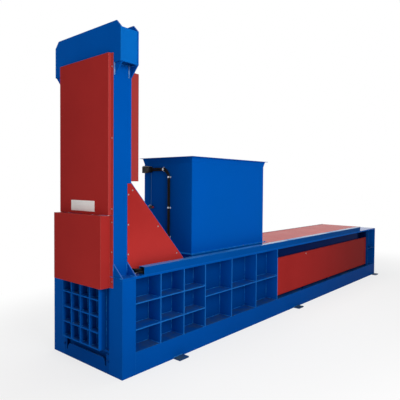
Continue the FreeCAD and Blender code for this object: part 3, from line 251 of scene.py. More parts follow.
def enamel(name, colour, shade, edge, dusty, fold=0.004, rub_and_highlight=0.3, chips=0.25, coat=1.0,
           fades=(), scours=()):
    """Sprayed enamel: slight waves, orange peel, dust on tops, chipped edges, and edges lightened as
    rubbed paint and painted highlight.

    Each fade is (where, from, to, colour, strength).  Each scour is (where, from, to, kept),
    where bales have rubbed the enamel down to the steel, apart from the kept share.
    """
    paint = Finish(name, **ENAMEL_GLOSS)
    cloud = paint.noise(1.3, 3.0, 0.55)
    flow = paint.noise(0.7, 2.0, 0.5, (1, 1, 0.25))
    body = paint.blend((cloud * 0.6 + flow * 0.5).between(0.3, 0.85), shade, colour)
    # Fades: mostly painted shade or painted light, by place or by which way a face looks.
    for where, start, end, tone, strength in fades:
        body = paint.blend(paint.reach(where).between(start, end) * strength, body, tone)

    speck = paint.noise(55.0, 4.0, 0.7)
    drift = paint.noise(4.5, 5.0, 0.7) * 1.3 + speck * 0.3
    settled = (paint.upward() * drift.between(0.62, 1.0) * dusty).clipped()
    body = paint.blend(settled, body, DUST)
    # Lighter edges: partly rubbed paint, partly a painted highlight where edges catch the light.
    rims = paint.edges(0.008)
    body = paint.blend((rims * (speck * 0.5 + 0.6) * rub_and_highlight).clipped(), body, edge)
    bare = rims * speck.between(0.58, 0.70) * chips
    body = paint.blend(bare.clipped(), body, PRIMER)

    streaks = paint.noise(3.0, 5.0, 0.65, (1, 1, 0.2))
    gloss = 0.24 + streaks * 0.14 + settled * 0.45 + bare * 0.2
    shine = paint.upward(0.25, 0.8) * (1 - settled) * coat
    steel_share = 0.0
    for where, start, end, kept in scours:
        lanes = paint.noise(7.0, 5.0, 0.65, (0.15, 1, 0.6))
        worn = paint.reach(where).between(start, end) * lanes.between(kept, kept + 0.12)
        rusty = paint.noise(3.5, 6.0, 0.7).between(0.50, 0.72) * 0.75
        body = paint.blend(worn, body, paint.blend(rusty, SCOURED, RUST))
        steel_share = worn * (0.85 - rusty) + steel_share
        gloss = gloss + worn * (lanes * 0.15 + rusty * 0.3)
        shine = shine * (1 - worn)
    if scours:
        paint.set("Metallic", steel_share.clipped())

    paint.set("Base Color", body)
    paint.set("Roughness", gloss.clipped())
    paint.set("Coat Weight", shine.clipped())
    waves = paint.relief(paint.noise(2.2, 2.0, 0.5), 0.35, 0.004, paint.soft_edge(fold))
    paint.set("Normal", paint.relief(paint.noise(420.0, 2.0, 0.5), 0.12, 0.0004, waves))
    return paint.material


def steel(name, colour, rough, grain=(1, 1, 1), scale=60.0, tint=0.75, bare=1.0):
    """Bare or plated steel with a directional grain and faint stains."""
    metal = Finish(name, Metallic=bare)
    lines = metal.noise(scale, 4.0, 0.65, grain)
    stain = metal.noise(5.0, 4.0, 0.6)
    dark = tuple(c * tint for c in colour[:3]) + (1,)
    metal.set("Base Color", metal.blend((stain * 0.8 + lines * 0.4).between(0.3, 0.9), dark, colour))
    metal.set("Roughness", (lines * 0.2 + stain * 0.12 + (rough - 0.14)).clipped())
    metal.set("Normal", metal.relief(lines, 0.25, 0.0006, metal.soft_edge(0.0015)))
    return metal.material


def worn_floor(name):
    """Chamber steel that bales have scoured: bright lanes between rusty margins."""
    dull, bright = (0.20, 0.19, 0.18, 1), (0.42, 0.41, 0.40, 1)
    metal = Finish(name)
    lanes = metal.noise(9.0, 5.0, 0.65, (0.12, 1, 1))
    rust = metal.noise(3.5, 6.0, 0.7).between(0.48, 0.72)
    metal.set("Base Color", metal.blend(rust * 0.75, metal.blend(lanes, dull, bright), RUST))
    metal.set("Metallic", (0.9 - rust * 0.7).clipped())
    metal.set("Roughness", (0.35 + lanes * 0.2 + rust * 0.3).clipped())
    metal.set("Normal", metal.relief(lanes + rust * 0.5, 0.3, 0.001))
    return metal.material


def plastic(name, colour, rough):
    """Moulded plastic, dulled by dust on its upper side."""
    film = (0.06, 0.065, 0.07, 1)
    moulding = Finish(name, IOR=1.48, Specular_IOR_Level=0.25)
    haze = moulding.noise(30.0, 4.0, 0.6)
    dusty = (moulding.upward() * 0.15 + haze * 0.06).clipped()
    moulding.set("Base Color", moulding.blend(dusty, colour, film))
    moulding.set("Roughness", (haze * 0.25 + rough - 0.12).clipped())
    moulding.set("Normal", moulding.relief(moulding.noise(700.0, 2.0, 0.5), 0.15, 0.0004))
    return moulding.material


def sprayed_weld(name, colour, edge):
    """Weld metal under the blue enamel: a rippled, lighter bead."""
    weld = Finish(name, **ENAMEL_GLOSS)
    patch = weld.noise(14.0, 3.0, 0.6)
    weld.set("Base Color", weld.blend(patch.between(0.35, 0.7), colour, edge))
    weld.set("Roughness", (0.22 + patch * 0.2).clipped())
    ripple = weld.add("ShaderNodeTexWave", {"bands_direction": "DIAGONAL"},
                      {"Vector": weld.place(), "Scale": 80.0, "Distortion": 2.5, "Detail": 1.0,
                       "Detail Scale": 4.0}, "Fac")
    weld.set("Normal", weld.relief(ripple + patch * 0.5, 0.8, 0.0015))
    return weld.material


def pale_plate(name):
    """Off-white film with a faint cast."""
    dull, bright = (0.88, 0.84, 0.82, 1), (0.94, 0.90, 0.88, 1)
    film = Finish(name, IOR=1.45, Specular_IOR_Level=0.3)
    cast = film.noise(4.0, 3.0, 0.5)
    film.set("Base Color", film.blend(cast.between(0.3, 0.7), dull, bright))
    film.set("Roughness", (0.4 + cast * 0.15).clipped())
    film.set("Normal", film.relief(film.noise(300.0, 2.0, 0.5), 0.1, 0.0003))
    return film.material


BLUE = (0.0, 0.102, 0.48, 1)
BLUE_SHADE = (0.0, 0.086, 0.42, 1)
# BLUE_EDGE: lighter blue for edges and outer faces, partly rubbed paint, partly painted highlight; also
# the weld beads' lighter patches.
BLUE_EDGE = (0.03, 0.24, 0.62, 1)
BLUES = (BLUE, BLUE_SHADE, BLUE_EDGE)
# BLUE_DEEP: darker blue, for painted shade in recesses and under parts, and for the darkening towards
# the ground.
BLUE_DEEP = (0.0, 0.040, 0.21, 1)
# BLUE_DARK: near-black blue for painted shade in recesses.
BLUE_DARK = (0.0, 0.008, 0.065, 1)
BLUE_LIT = (0.003, 0.155, 0.57, 1)
RED = (0.43, 0.026, 0.024, 1)
RED_SHADE = (0.36, 0.021, 0.02, 1)
# RED_EDGE: lighter red for edges, partly rubbed paint, partly painted highlight.
RED_EDGE = (0.55, 0.07, 0.06, 1)
# Painted sheen on the front covers' side flanges.
RED_PAINTED_SHEEN = (0.50, 0.052, 0.050, 1)
# Dark red for painted shade.
RED_PAINTED_SHADE = (0.20, 0.014, 0.013, 1)
# Painted light on the guards' lower part.
RED_PAINTED_LIGHT = (0.63, 0.045, 0.04, 1)
BLACK = (0.006, 0.006, 0.007, 1)
SHEET_FOLD = 0.007  # folded edges of the red sheets
LOW_DOWN = ("Z", 1.4, 0.1, BLUE_DEEP, 0.3)  # darker towards the ground

# Blue enamel on the frame, by how it has weathered and what light reaches it.
blue_enamel = enamel("blue_enamel", *BLUES, dusty=0.2, fades=[LOW_DOWN])
# Painted shade: the sill, under the gate, is darkened as if in the gate's shadow.
blue_sill = enamel("blue_enamel_sill", *BLUES, dusty=0.4,
                   fades=[("Z", 0.6, 0.3, BLUE_DEEP, 0.6)])
blue_anchor = enamel("blue_enamel_anchor", (0.02, 0.07, 0.19, 1), (0.02, 0.05, 0.14, 1), BLUE_EDGE,
                     dusty=1.0)
blue_beam = enamel("blue_enamel_crossbeam", *BLUES, dusty=0.2,
                   fades=[("side", BEAM_END - 0.014, BEAM_END - 0.011, BLUE_LIT, 0.8)])
# Painted shade: the duct darkens towards the rear. Painted highlight on its top faces and, with the
# strong edge mix, along its edges.
blue_duct = enamel("blue_enamel_duct", (0.0, 0.088, 0.40, 1), (0.0, 0.074, 0.34, 1), BLUE_EDGE,
                   dusty=0.1, rub_and_highlight=0.7,
                   fades=[("X", -2.0, 1.5, (0.0, 0.060, 0.25, 1), 0.8),
                          ("up", 0.6, 0.9, (0.08, 0.28, 0.62, 1), 0.7)])
# Painted shade: the base beams darken towards the rear; they are also darker towards the ground.
blue_base = enamel("blue_enamel_base", *BLUES, dusty=0.5, rub_and_highlight=0.5,
                   fades=[LOW_DOWN, ("X", -3.6, 3.4, BLUE_DEEP, 0.6)])
# Painted shade on the backs of the wall cells; painted highlight on the outer faces of their ribs and
# shelves.
blue_cells = enamel("blue_enamel_cells", *BLUES, dusty=0.5, rub_and_highlight=0.5,
                    fades=[("side", WALL_FACE + 0.012, WALL_FACE + 0.004, BLUE_DEEP, 0.7),
                           ("side", HALF_WIDTH - 0.008, HALF_WIDTH - 0.002, BLUE_EDGE, 0.3)],
                    scours=[("side", CHAMBER_HALF + 0.004, CHAMBER_HALF + 0.001, 0.3)])
# Painted shade: the rear walls are a darker blue, darker still in the recess under the duct.
blue_rear = enamel("blue_enamel_rear", (0.0, 0.055, 0.26, 1), (0.0, 0.045, 0.21, 1), BLUE_EDGE,
                   dusty=0.2,
                   fades=[("side", HALF_WIDTH - 0.050, HALF_WIDTH - 0.058, BLUE_DARK, 0.95)])
# Painted shade inside the gate's cells, darker behind their mouths.
blue_gate = enamel("blue_enamel_gate", *BLUES, dusty=0.5, rub_and_highlight=0.5,
                   fades=[("X", GATE_MOUTH + 0.010, GATE_MOUTH + 0.045, BLUE_DEEP, 0.8)],
                   scours=[("rearward", 0.7, 0.9, 0.3)])
blue_inside = enamel("blue_enamel_inside", (0.0, 0.05, 0.25, 1), (0.0, 0.04, 0.2, 1), BLUE,
                     dusty=0.6, chips=0.8)
blue_ram = enamel("blue_enamel_ram", (0.0, 0.06, 0.28, 1), (0.0, 0.05, 0.23, 1), BLUE,
                  dusty=0.3, chips=0.8,
                  scours=[("rearward", -0.7, -0.9, 0.3), ("up", 0.7, 0.9, 0.3)])
# Painted light: the throat and the lowest band of the hopper are lighter.
blue_feed = enamel("blue_enamel_feed", (0.0, 0.104, 0.52, 1), BLUE, BLUE_EDGE, dusty=0.1, coat=0.4,
                   fades=[("Z", HOPPER_FOOT + 0.022, HOPPER_FOOT + 0.012, (0.0, 0.18, 0.60, 1), 0.6)],
                   scours=[("out of hopper", 0.0, -0.02, 0.44)])
strip_enamel = enamel("edge_strip_enamel", (0.17, 0.15, 0.24, 1), (0.13, 0.12, 0.20, 1), BLUE_EDGE,
                      dusty=0.2)

# Red enamel on the folded sheets.
# Painted highlight along the folds, in the lighter edge colour; painted shade darkening towards the far
# side; painted sheen on the side flanges.
red_front = enamel("red_enamel_front", (0.47, 0.032, 0.029, 1), (0.40, 0.027, 0.025, 1),
                   (0.68, 0.16, 0.14, 1), dusty=0.1, fold=SHEET_FOLD, rub_and_highlight=0.9, coat=0.3,
                   fades=[("Y", -0.3, 0.5, RED_PAINTED_SHADE, 0.22), ("side", 0.526, 0.532, RED_PAINTED_SHEEN, 0.8)])
red_rear = enamel("red_enamel_rear_cover", (0.42, 0.050, 0.046, 1), (0.36, 0.04, 0.036, 1), RED_EDGE,
                  dusty=0.1, fold=SHEET_FOLD)
# Painted light: the guards grow lighter towards their lower part.
red_guards = enamel("red_enamel_guards", (0.45, 0.031, 0.028, 1), RED_SHADE, RED_EDGE, dusty=0.1,
                    fold=SHEET_FOLD, fades=[("Z", 2.1, 1.35, RED_PAINTED_LIGHT, 0.6)])
# Painted shade: the side panels darken towards the rear.
red_panels = enamel("red_enamel_panels", RED, RED_SHADE, RED_EDGE, dusty=0.1, fold=SHEET_FOLD,
                    coat=0.3, fades=[("X", -0.9, 4.2, RED_PAINTED_SHADE, 0.8)])
# Painted sheen: the cylinder covers are a lighter red than the other sheets, for the white they reflect
# on top.
red_trays = enamel("red_enamel_trays", (0.61, 0.031, 0.026, 1), (0.51, 0.026, 0.022, 1), RED_EDGE,
                   dusty=0.05, fold=SHEET_FOLD, coat=0.34)

ground_steel = steel("ground_steel", (0.50, 0.50, 0.51, 1), 0.34, grain=(1, 12, 12))
hard_chrome = steel("hard_chrome", (0.78, 0.78, 0.80, 1), 0.12, grain=(1, 6, 6), scale=90.0, tint=0.9)
zinc = steel("zinc_plate", (0.58, 0.58, 0.57, 1), 0.40, scale=160.0, tint=0.8)
bright_zinc = steel("bright_zinc", (0.80, 0.84, 0.90, 1), 0.30, scale=200.0, tint=0.9, bare=0.35)
chamber_steel = worn_floor("scoured_chamber_steel")
weld_metal = sprayed_weld("weld_metal", BLUE, BLUE_EDGE)
# Painted highlight: near-white blue weld beads, for the glints on the columns' edges under the
# crossbeam.
painted_highlight_weld = sprayed_weld("painted_highlight_weld_metal", (0.10, 0.30, 0.66, 1), (0.34, 0.50, 0.78, 1))
black_plastic = plastic("black_plastic", BLACK, 0.45)
black_conduit = plastic("black_conduit", BLACK, 0.5)
hose_rubber = plastic("hose_rubber", (0.003, 0.003, 0.003, 1), 0.6)
red_plastic = plastic("red_plastic", (0.22, 0.012, 0.02, 1), 0.45)
lead_sheath = plastic("lead_sheath", (0.03, 0.13, 0.34, 1), 0.5)
off_white = pale_plate("off_white_film")


def wear(node_names, material):
    """Give CAD nodes a finish, in every slot they have."""
    for name in node_names:
        mesh = NODES[name].data
        mesh.materials.clear()
        mesh.materials.append(material)


FINISHES = [
    (NODES, blue_enamel),  # all of them first, then those that differ
    (["crossbeam"], blue_beam),
    (["side_duct"], blue_duct),
    (["near_base_beam", "far_base_beam"], blue_base),
    (["front_sill"], blue_sill),
    (["anchor_plates"], blue_anchor),
    (["near_press_wall", "far_press_wall"], blue_cells),
    (["near_rear_wall", "far_rear_wall"], blue_rear),
    (["gate"], blue_gate),
    (["ram"], blue_ram),
    (["hopper", "feed_throat"], blue_feed),
    (["main_barrel", "main_gland", "cylinder_saddle", "thrust_crosshead", "gate_barrel", "gate_gland",
      "floor_crossmembers", "front_lintel"], blue_inside),
    (["front_cover_upper", "front_cover_lower"], red_front),
    (["rear_cover"], red_rear),
    (["near_side_guard", "far_side_guard"], red_guards),
    (["near_side_panel", "far_side_panel"], red_panels),
    (["cylinder_covers"], red_trays),
    (["ram_shoes", "ram_knife", "fixed_knife", "gate_guides", "wear_strips"], ground_steel),
    (["cover_screws", "conduit_clips", "gate_pin", "hanger_pin", "main_piston", "gate_piston"], zinc),
    (["fill_sensors", "sensor_conduit", "duct_hoses"], black_plastic),
    (["main_rod", "gate_rod"], hard_chrome),
    (["chamber_floor"], chamber_steel),
]
for nodes, finish in FINISHES:
    wear(nodes, finish)


# ---------------- modelling
def turn_to(direction):
    """The turn that takes something upright into a direction."""
    return Vector(UP).rotation_difference(Vector(direction))


def standing(place, direction):
    """The matrix that stands something upright on a place, along a direction."""
    return Matrix.Translation(place) @ turn_to(direction).to_matrix().to_4x4()


def fresh(add, **sizes):
    """A new primitive, alone selected, with its place and size in its mesh."""
    bpy.ops.object.select_all(action="DESELECT")
    add(**sizes)
    bpy.ops.object.transform_apply(location=True, rotation=True, scale=True)
    return bpy.context.object


def bar(size, centre):
    return fresh(bpy.ops.mesh.primitive_cube_add, size=1, location=centre, scale=size)


def disc(radius, depth, centre, axis=UP, sides=24):
    return fresh(bpy.ops.mesh.primitive_cylinder_add, vertices=sides, radius=radius, depth=depth,
                 location=centre, rotation=turn_to(axis).to_euler())


def edit(kind, choice="DESELECT"):
    """Enter edit mode on corner points or faces, with none or all of them selected."""
    bpy.ops.object.mode_set(mode="EDIT")
    bpy.ops.mesh.select_mode(type=kind)
    bpy.ops.mesh.select_all(action=choice)


def leave():
    bpy.ops.object.mode_set(mode="OBJECT")


def pick(piece, test):
    """Enter edit mode with the faces selected whose middle and normal pass a test."""
    edit("FACE")
    shape = bmesh.from_edit_mesh(piece.data)
    shape.normal_update()
    for face in shape.faces:
        face.select_set(bool(test(face.calc_center_median(), face.normal)))
    bmesh.update_edit_mesh(piece.data)


def looks(direction):
    """A test that faces pass which look in a direction."""
    return lambda middle, normal: normal.dot(Vector(direction)) > 0.9


def pick_points(piece, test):
    """Enter edit mode with the corner points selected whose place passes a test."""
    edit("VERT")
    shape = bmesh.from_edit_mesh(piece.data)
    for corner in shape.verts:
        corner.select_set(bool(test(corner.co)))
    shape.select_flush_mode()
    bmesh.update_edit_mesh(piece.data)


def raise_faces(distance):
    bpy.ops.mesh.extrude_region_shrink_fatten(TRANSFORM_OT_shrink_fatten={"value": distance})


def ridged(piece, test, gap, rise):
    """Raise or sink a panel on the chosen faces, with a gap left round it."""
    pick(piece, test)
    bpy.ops.mesh.inset(thickness=gap)
    raise_faces(rise)
    leave()


def narrow_end(piece, direction, share, rise):
    """Turn a bar's end face into a shorter, narrower step."""
    pick(piece, looks(direction))
    bpy.ops.mesh.inset(thickness=share)
    bpy.ops.transform.translate(value=Vector(direction) * rise)
    leave()


def alone(piece):
    bpy.ops.object.select_all(action="DESELECT")
    piece.select_set(True)
    bpy.context.view_layer.objects.active = piece


def discard(piece):
    alone(piece)
    bpy.ops.object.delete()


def soften(piece, radius, segments=2):
    """Rounded edges, applied, with smooth shading over them."""
    alone(piece)
    bevel = piece.modifiers.new("edges", "BEVEL")
    bevel.width = radius
    bevel.segments = segments
    bevel.limit_method = "ANGLE"
    bpy.ops.object.modifier_apply(modifier=bevel.name)
    bpy.ops.object.shade_smooth_by_angle(angle=math.radians(35))
    return piece


def joined(pieces):
    """Several pieces of one finish as one mesh with its place in it."""
    bpy.ops.object.select_all(action="DESELECT")
    for piece in pieces:
        piece.select_set(True)
    bpy.context.view_layer.objects.active = pieces[0]
    bpy.ops.object.join()
    bpy.ops.object.transform_apply(location=True, rotation=True, scale=True)
    return bpy.context.object


def copy_of(pattern, matrix):
    """A copy with its own mesh, set down by a matrix."""
    copy = pattern.copy()
    copy.data = pattern.data.copy()
    bpy.context.scene.collection.objects.link(copy)
    copy.matrix_world = matrix
    return copy


def repeated(pattern, matrices):
    """Copies of a pattern, joined as one mesh; the pattern itself goes."""
    copies = [copy_of(pattern, matrix) for matrix in matrices]
    discard(pattern)
    return joined(copies)


def seat(piece, name, material, body="frame"):
    """Name a finished piece, give it its finish and let it ride on its body."""
    piece.name = name
    piece.data.name = name
    piece.data.materials.clear()
    piece.data.materials.append(material)
    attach(piece, body)
    return piece


# ---------------- screws
# Each size is the width across flats and the height of the head.
GUARD_SCREW = (0.0105, 0.0055)
SHEET_SCREW = (0.013, 0.006)
FOOT_BOLT = (0.019, 0.0085)
RIM_SCREW = (0.012, 0.0005)
LUG_BOLT = (0.024, 0.012)
GLAND_SCREW = (0.013, 0.008)
SENSOR_SCREW = (0.010, 0.005)
STRAP_SCREW = (0.006, 0.003)


def hex_screw(flats, height):
    """Chamfered six-sided head on its washer, standing on z = 0."""
    washer_height = flats * 0.1
    washer = disc(flats * 0.92, washer_height, (0, 0, washer_height / 2), sides=16)
    narrow_end(washer, UP, flats * 0.06, 0)
    head = disc(flats / math.sqrt(3), height, (0, 0, washer_height + height / 2), sides=6)
    narrow_end(head, UP, flats * 0.1, flats * 0.06)
    return joined([washer, head])


def screws(name, size, places, material=zinc):
    """Copies of one screw, each on its place along its direction, a little turned."""
    turns = random.Random(name)
    matrices = [standing(place, direction) @ Matrix.Rotation(turns.uniform(0, math.pi / 3), 4, "Z")
                for place, direction in places]
    return seat(repeated(hex_screw(*size), matrices), name, material)


def spread(first, last, count):
    """Evenly spaced values from first to last."""
    return [first + (last - first) * i / (count - 1) for i in range(count)]


def guard_screw_spots():
    """Places on the near guard, as (x, z): down its lapped edge, then down its raking one."""
    edge, trim = 0.013, 0.053  # in from the lapped and the raking edge
    above_deck, below_top = 0.255, 0.155
    brace_low, brace_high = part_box("near_brace")
    slope = math.atan2(brace_high.z - brace_low.z, brace_high.x - brace_low.x)
    top = Vector((brace_low.x, brace_high.z - trim / math.cos(slope)))
    foot = Vector((brace_high.x - trim / math.sin(slope), brace_low.z))
    lap_x = low("near_side_guard").x + edge
    spots = [(lap_x, z) for z in spread(DECK_TOP + above_deck, brace_high.z - below_top, 3)]
    return spots + [tuple(top.lerp(foot, share)) for share in (0.02, 0.47, 0.84)]


def cover_screws():
    """Screws of the front covers and of both three-cornered guards."""
    end, upper_end, flange = 0.080, 0.165, 0.045
    flange_y = high("front_cover_upper").y - flange / 2
    rows = spread(low("front_cover_lower").z + end, high("front_cover_lower").z - end, 3)
    rows += spread(low("front_cover_upper").z + end, high("front_cover_upper").z - upper_end, 3)
    places = []
    for side in SIDES:
        places += [((FRONT - SHEET, side * flange_y, z), FORWARD) for z in rows]
        places += [((x, side * (COLUMN_FACE + SHEET), z), (0, side, 0)) for x, z in guard_screw_spots()]
    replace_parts(screws("cover_screw_heads", GUARD_SCREW, places), "cover_screws")


def panel_screws():
    """Two rows of screws along each side panel, one of them with its paint gone."""
    inset, end = 0.040, 0.075
    first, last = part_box("near_side_panel")
    places = []
    for side in SIDES:
        for z in (last.z - inset, first.z + inset):
            places += [((x, side * -first.y, z), (0, side, 0))
                       for x in spread(first.x + end, last.x - end, 5)]
    bare = places.pop(1)
    screws("panel_screws", SHEET_SCREW, places, red_panels)
    screws("bare_panel_screw", SHEET_SCREW, [bare])


def tray_screws():
    """Screws along both long edges of the cylinder covers."""
    inset, end = 0.025, 0.10
    first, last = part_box("cylinder_covers")
    places = [((x, y, last.z), UP) for y in (first.y + inset, last.y - inset)
              for x in spread(first.x + end, last.x - end, 16)]
    screws("tray_screws", SHEET_SCREW, places)


def foot_bolts():
    """Bolts through the hopper's foot flange, all round."""
    out = 0.028  # from the throat to the middle of the flange
    first, last = HOPPER_FRONT - out, HOPPER_REAR + out
    across, top = HOPPER_HALF + out, HOPPER_FOOT + HOPPER_SHEET
    places = [((x, side * across, top), UP) for side in SIDES for x in spread(first, last, 13)]
    inner = spread(-across, across, 8)[1:-1]
    places += [((x, y, top), UP) for x in (first, last) for y in inner]
    screws("hopper_foot_bolts", FOOT_BOLT, places, blue_feed)


def access_cover():
    """Pressed rear cover: a flat rim round a raised field, with flat screws in the rim."""
    rim, rim_width, draft = 0.0015, 0.032, 0.002
    first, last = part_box("access_cover")
    centre = (first.x + rim / 2, (first.y + last.y) / 2, (first.z + last.z) / 2)
    plate = bar((rim, last.y - first.y, last.z - first.z), centre)
    pick(plate, looks(REARWARD))
    bpy.ops.mesh.inset(thickness=rim_width)
    raise_faces(last.x - first.x - rim)
    bpy.ops.mesh.inset(thickness=draft)
    leave()
    soften(plate, 0.0006)
    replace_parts(seat(plate, "pressed_access_cover", blue_enamel), "access_cover")

    inset = rim_width / 2
    ys = spread(first.y + inset, last.y - inset, 5)
    zs = spread(first.z + inset, last.z - inset, 4)
    places = [(y, z) for y in ys for z in (zs[0], zs[-1])]
    places += [(y, z) for y in (ys[0], ys[-1]) for z in zs[1:-1]]
    screws("access_cover_screws", RIM_SCREW, [((first.x + rim, y, z), REARWARD) for y, z in places])


def lug_bolts():
    """One painted bolt in each end lug of the front sill."""
    lug_y, lug_z = CHAMBER_HALF - 0.019, 0.162
    places = [((low("front_sill").x, side * lug_y, lug_z), FORWARD) for side in SIDES]
    screws("sill_lug_bolts", LUG_BOLT, places, blue_inside)


def gland_screws():
    """A ring of screws under the gland of the gate cylinder."""
    inset, count = 0.018, 6
    first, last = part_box("gate_gland")
    middle = (first + last) / 2
    ring = (last.x - first.x) / 2 - inset
    turns = [2 * math.pi / count * i for i in range(count)]
    places = [((middle.x + ring * math.cos(t), middle.y + ring * math.sin(t), first.z), DOWN)
              for t in turns]
    screws("gate_gland_screws", GLAND_SCREW, places)


cover_screws()
panel_screws()
tray_screws()
foot_bolts()
access_cover()
lug_bolts()
gland_screws()


# ---------------- welds
def bead_pattern(radius):
    """Fillet of weld metal, one metre along Z, with rounded ends."""
    bead = disc(radius, 1.0, (0, 0, 0.5), sides=8)
    for end in (UP, DOWN):
        narrow_end(bead, end, radius * 0.45, 0.004)
    bpy.ops.object.shade_smooth_by_angle(angle=math.radians(60))
    return bead


def beads(name, radius, runs, material=weld_metal, body="frame"):
    """Weld beads along straight runs, all from one pattern."""
    matrices = []
    for first, last in runs:
        along = Vector(last) - Vector(first)
        matrices.append(standing(first, along) @ Matrix.Scale(along.length, 4, UP))
    return seat(repeated(bead_pattern(radius), matrices), name, material, body)


def cell_runs(point, back, mouth, across, heights):
    """Beads round the back of one open cell, then out along its four corners.

    point(depth, across, height) gives a place in the cell.
    """
    runs = [(point(back, a, heights[0]), point(back, a, heights[1])) for a in across]
    runs += [(point(back, across[0], z), point(back, across[1], z)) for z in heights]
    runs += [(point(back, a, z), point(mouth, a, z)) for a in across for z in heights]
    return runs


def spans(start, ribs, end):
    """Clear lengths between two plain faces, with ribs between them."""
    lows = [start] + [x + RIB / 2 for x in ribs]
    highs = [x - RIB / 2 for x in ribs] + [end]
    return list(zip(lows, highs))


def levels(shelves):
    """Clear heights between the base beams, the shelves and the deck."""
    lows = [BASE_TOP] + [z + RIB for z in shelves]
    return list(zip(lows, list(shelves) + [DECK_UNDER]))


def wall_welds():
    """Fillets of the cellular walls, both sides."""
    front = spans(POST_REAR, FRONT_RIBS[:-1], FRONT_RIBS[-1] - RIB / 2)
    middle = spans(FRONT_RIBS[-1] + RIB / 2, MIDDLE_RIBS[:-1], MIDDLE_RIBS[-1] - RIB / 2)
    rear = [(REAR_RIB + RIB / 2, REAR_END)]
    blocks = [(front, FRONT_SHELVES), (middle, (MIDDLE_SHELF,)), (rear, (MIDDLE_SHELF,))]
    cells = [(side, length, heights) for side in SIDES for lengths, shelves in blocks
             for length in lengths for heights in levels(shelves)]
    runs, mouth = [], HALF_WIDTH - 0.012
    for side, length, heights in cells:
        runs += cell_runs(lambda depth, x, z: (x, side * depth, z), WALL_FACE, mouth, length, heights)
    beads("wall_weld_beads", 0.0055, runs)


def tower_welds():
    """Fillets of the columns, gussets, braces and crossbeam."""
    gusset_rise, gusset_tip = 0.160 * 0.95, HALF_WIDTH - 0.006
    top_gusset_faces = (FRONT + 0.018 + RIB, TOWER_REAR - RIB)
    top_gusset_tip = COLUMN_FACE + (BEAM_END - COLUMN_FACE) * 0.95
    bright_at, bright_length, bright_proud = (FRONT + 0.010, TOWER_REAR - 0.046), 0.150, 0.004
    brace, brace_foot, brace_run = 0.080, high("near_brace").x, 0.105
    runs, bright = [], []
    for side in SIDES:
        y, inner = side * COLUMN_FACE, side * CHAMBER_HALF
        runs.append(((FRONT, y, DECK_TOP), (TOWER_REAR, y, DECK_TOP)))
        runs += [((x, y, DECK_TOP), (x, inner, DECK_TOP)) for x in (FRONT, TOWER_REAR)]
        for x in GUSSET_FACES:
            runs.append(((x, y, DECK_TOP), (x, side * gusset_tip, DECK_TOP)))
            runs.append(((x, y, DECK_TOP), (x, y, DECK_TOP + gusset_rise)))
        runs.append(((FRONT, y, COLUMN_TOP), (TOWER_REAR, y, COLUMN_TOP)))
        proud = y + side * bright_proud
        bright += [((x, proud, COLUMN_TOP - bright_length), (x, proud, COLUMN_TOP)) for x in bright_at]
        runs += [((x, y, COLUMN_TOP), (x, side * top_gusset_tip, COLUMN_TOP)) for x in top_gusset_faces]
        for inside in (0, brace):
            across = side * (COLUMN_FACE - inside)
            runs.append(((brace_foot - brace_run, across, DECK_TOP), (brace_foot, across, DECK_TOP)))
    beads("tower_weld_beads", 0.006, runs)
    # These bright beads carry a painted highlight.
    beads("tower_top_weld_beads", 0.008, bright, painted_highlight_weld)


def feed_welds():
    """Fillets round the throat, and up the hopper's corners inside."""
    runs = []
    for z in (DECK_TOP, HOPPER_FOOT + HOPPER_SHEET):
        runs += [((HOPPER_FRONT, y, z), (HOPPER_REAR, y, z)) for y in (-HOPPER_HALF, HOPPER_HALF)]
        runs += [((x, -HOPPER_HALF, z), (x, HOPPER_HALF, z)) for x in (HOPPER_FRONT, HOPPER_REAR)]
    inside = HOPPER_HALF - HOPPER_SHEET
    for x in (HOPPER_FRONT + HOPPER_SHEET, HOPPER_REAR - HOPPER_SHEET):
        runs += [((x, y, HOPPER_FOOT), (x, y, HOPPER_SHOULDER)) for y in (-inside, inside)]
    beads("feed_weld_beads", 0.005, runs)


def gate_welds():
    """Fillets in the cells of the lift gate."""
    rows, columns = 4, 4
    foot, half, plate = low("gate").z, GATE_CELLS_HALF, FRONT + 0.027
    pitch_y = (2 * half - RIB) / columns
    pitch_z = (GATE_CELLS_TOP - foot - RIB) / rows
    runs = []
    for row in range(rows):
        z = foot + row * pitch_z
        for column in range(columns):
            y = -half + column * pitch_y
            runs += cell_runs(lambda x, y, z: (x, y, z), plate, GATE_MOUTH,
                              (y + RIB, y + pitch_y), (z + RIB, z + pitch_z))
    runs += [((plate, side * half, foot), (plate, side * half, GATE_CELLS_TOP)) for side in SIDES]
    beads("gate_weld_beads", 0.0045, runs, body="gate")


def anchor_welds():
    """Fillets where the anchor plates meet the body."""
    half = 0.090
    first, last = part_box("anchor_plates")
    middles = (first.x + half, FRONT + 4.345, last.x - half)
    runs = [((x - half, side * HALF_WIDTH, last.z), (x + half, side * HALF_WIDTH, last.z))
            for x in middles for side in SIDES]
    beads("anchor_weld_beads", 0.007, runs)


wall_welds()
tower_welds()
feed_welds()
gate_welds()
anchor_welds()


# ---------------- sensors
# They sit on the hopper's front wall.  x is taken as the distance out from that wall.
UPPER_Z = high("fill_sensors").z - 0.050
LOWER_Z = low("fill_sensors").z + 0.030
UPPER_SIDE, UPPER_FAR_SIDE = 0.333, 0.505  # the upper sensor's sides, across
CONDUIT = 0.025  # diameter
RING_PITCH = 0.0055
CONDUIT_PITCH = 0.028  # the two conduits run side by side
CONDUIT_OUT = 0.0155  # their middles from the wall
CONDUIT_Y = -0.052  # their upright run
KNEE = (0.035, 0.085)  # leaves the level run, and its fall from there
PAIR = (-CONDUIT_PITCH / 2, CONDUIT_PITCH / 2)


def on_wall(out, y, z):
    """A place in front of the hopper's front wall."""
    return (HOPPER_FRONT - out, y, z)


